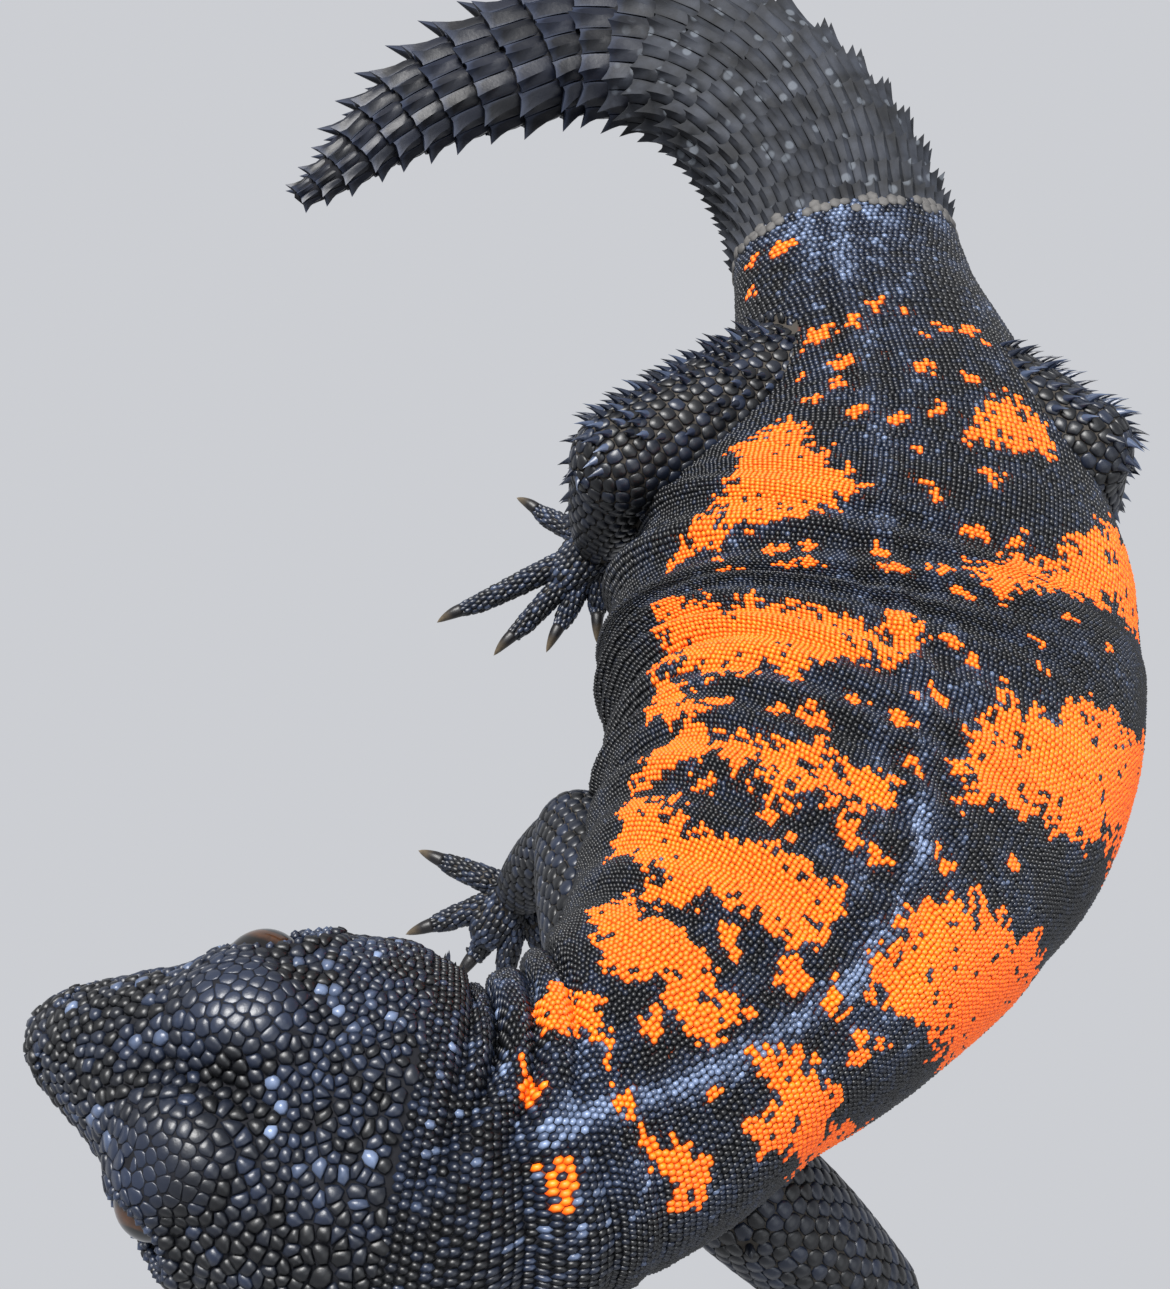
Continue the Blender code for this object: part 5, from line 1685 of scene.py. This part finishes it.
# %% Eyes
EYE_ROWS, EYE_AROUND = 24, 32
EYE_SUNK = 0.2  # mm by which the ball is smaller than the solid's
SPOT_ON_UNWRAP = 0.006  # size of an eye or a claw on the unwrap


def eye_finish():
    made = Finish("eye", Roughness=0.12, Specular_IOR_Level=0.35, Coat_Weight=0.2, Coat_Roughness=0.04)
    middle = made.attribute("middle")
    iris = made.mix(made.noise(1800), colour(26, 16, 10), colour(66, 40, 22))
    iris = made.mix(made.spread(middle, 0.50, 0.62), colour(10, 8, 8), iris)
    made.set(Base_Color=made.mix(made.spread(middle, 0.80, 0.83), iris, colour(3, 3, 3)))
    return made.material


def make_eye(word, sign, finish):
    """A sphere whose pole looks out of the opening: rings at even angles from the pole."""
    s = np.array(EYE["s"])
    centre, back, left, up = body_frame(s)
    middle = centre + left * sign * EYE["side"] + up * EYE["up"]
    axes = np.stack([back, up * sign, left * sign])
    tilt = np.linspace(0, np.pi, EYE_ROWS + 2)[1:-1, None]
    turn = np.arange(EYE_AROUND) * 2 * np.pi / EYE_AROUND
    ball = [np.sin(tilt) * np.cos(turn), np.sin(tilt) * np.sin(turn), np.cos(tilt) + 0 * turn]
    ball = np.stack(ball, axis=-1)
    ball = np.concatenate([ball.reshape(-1, 3), [(0, 0, 1), (0, 0, -1)]])
    sizes, corners, ring, step = tube_faces(EYE_ROWS, EYE_AROUND)
    q = float(share_at(s.reshape(1), np.array([EYE["up"]]), -sign)[0])
    around = step / EYE_AROUND * 2 * np.pi
    spot = np.stack([np.cos(around), np.sin(around)], axis=1)
    spot = spot * (np.clip(ring, 0, EYE_ROWS) / EYE_ROWS)[:, None] * SPOT_ON_UNWRAP
    eye = make_piece(f"eyeball_{word}", middle + (EYE["radius"] - EYE_SUNK) * ball @ axes, sizes, corners,
                     finish, body_unwrap(s, q) + spot, dict(middle=ball[:, 2]))
    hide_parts(f"eye_{word}")


EYE_FINISH = eye_finish()
for word, sign in (("left", 1), ("right", -1)):
    make_eye(word, sign, EYE_FINISH)

# %% [markdown]
# The claws are dark horn, curved and paler at the point. A claw leaves its toe level, arches and comes
# down to a point near the floor. It is a row of rings along that line, thinning slowly and then fast.

# %% Claws
CLAW_ROWS, CLAW_AROUND = 9, 14
CLAW_RADIUS = 1.12
CLAW_SHARES = [0, 0.3, 0.58, 0.82, 1.0]  # along a claw, where its height is set
CLAW_HEIGHTS = [0, 0.05, -0.28, -0.8]  # mm over the toe's end, for all but the point
CLAW_TIP = 0.6  # mm of the point above the floor


def horn_finish():
    made = Finish("claw_horn", Roughness=0.42, Specular_IOR_Level=0.35)
    horn = made.mix(made.spread(made.attribute("along"), 0.35, 1.0), colour(18, 17, 19), colour(94, 82, 64))
    streaks = made.spread(made.noise(1500), 0.4, 0.7, 0, 0.35)
    made.set(Base_Color=made.mix(streaks, horn, colour(16, 14, 14)))
    made.bump(made.noise(2400), 0.3, 0.0001)
    return made.material


def claw_line(toe, length):
    """Distances as shares and places along the claw's middle, from inside the toe's end."""
    heading = unit(toe.line[-1] - toe.line[-2])
    flat = unit(np.array([heading[0], heading[1], 0.0]))
    t = np.linspace(0, 1, CLAW_ROWS)
    line = toe.line[-1] + heading * 0.2 + flat * (t * length)[:, None]
    line[:, 2] += np.interp(t, CLAW_SHARES, [*CLAW_HEIGHTS, CLAW_TIP - toe.line[-1][2]])
    return t, line


def make_claw(name, node, toe, length, finish):
    """Rings square to the line, the last one closed to a point."""
    t, line = claw_line(toe, length)
    radius = CLAW_RADIUS * (1 - t ** 1.7) ** 0.8 + 0.02
    ahead = unit(np.gradient(line, axis=0))
    side = unit(np.cross([0, 0, 1.0], ahead))
    up = np.cross(ahead, side)
    turn = -np.arange(CLAW_AROUND) * 2 * np.pi / CLAW_AROUND
    ring = side[:, None] * np.cos(turn)[None, :, None] + up[:, None] * np.sin(turn)[None, :, None]
    points = (line[:, None] + ring * radius[:, None, None]).reshape(-1, 3)
    points = np.concatenate([points, [line[0] - ahead[0] * 0.2], [line[-1] + ahead[-1] * 0.1]])
    points[:, 2] = np.maximum(points[:, 2], 0.05)
    sizes, corners, ring_index, step = tube_faces(CLAW_ROWS, CLAW_AROUND)
    root = limb_unwrap(LIMB_INDEX[toe.name], 0.9, 0.5)
    spot = np.stack([ring_index / CLAW_ROWS, step / CLAW_AROUND], axis=1) * SPOT_ON_UNWRAP
    value = np.concatenate([np.repeat(t, CLAW_AROUND), [0, 1]])
    claw = make_piece(name, points, sizes, corners, finish, root + spot, dict(along=value))
    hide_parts(node)


HORN = horn_finish()
for part in LIMB_LENGTHS:
    if part.name.startswith("toe_"):
        end = part.name.removeprefix("toe_")
        make_claw(f"horn_{end}", f"claw_{end}", part, CLAW_LENGTH[end.split("_")[0]], HORN)

# %% [markdown]
# The light in the photograph is soft and comes from above, a little from the upper left, and it is
# slightly cool. A large area lamp gives it. Two weaker ones and a pale world open the shadows. The floor
# is plain and pale.

# %% Floor and lamps
LAMP_TARGET = np.array([-0.02, 0.02, 0.02])  # metres, as all places of lamps
LAMPS = (  # name, place, size, power, tint
    ("key", (-0.30, 0.42, 0.80), 0.42, 24, (1.0, 0.985, 0.96)),
    ("sky", (0.05, 0.15, 1.1), 0.9, 7, (0.88, 0.93, 1.0)),
    ("fill", (0.6, -0.5, 0.6), 0.8, 3, (0.92, 0.96, 1.0)),
)
FLOOR = Finish("floor", Roughness=0.8)
FLOOR.set(Base_Color=colour(250, 248, 244))


def add_lamp(name, place, size, power, tint):
    """An area lamp turned towards the animal."""
    data = bpy.data.lights.new(name, "AREA")
    data.size, data.energy, data.color = size, power, tint
    lamp = bpy.data.objects.new(name, data)
    lamp.location = place
    away = unit(np.array(place) - LAMP_TARGET)
    lamp.rotation_euler = (math.acos(away[2]), 0, math.atan2(away[0], -away[1]))
    COLLECTION.objects.link(lamp)


for lamp in LAMPS:
    add_lamp(*lamp)
world = bpy.data.worlds.new("studio")
world.use_nodes = True
background = world.node_tree.nodes["Background"]
background.inputs["Color"].default_value = (0.93, 0.95, 1.0, 1)
background.inputs["Strength"].default_value = 0.65
bpy.context.scene.world = world
bpy.context.scene.view_settings.view_transform = "Standard"
print("lamps:", len(LAMPS))

# %% [markdown]
# The dressed part is meant to keep the size of the solids.
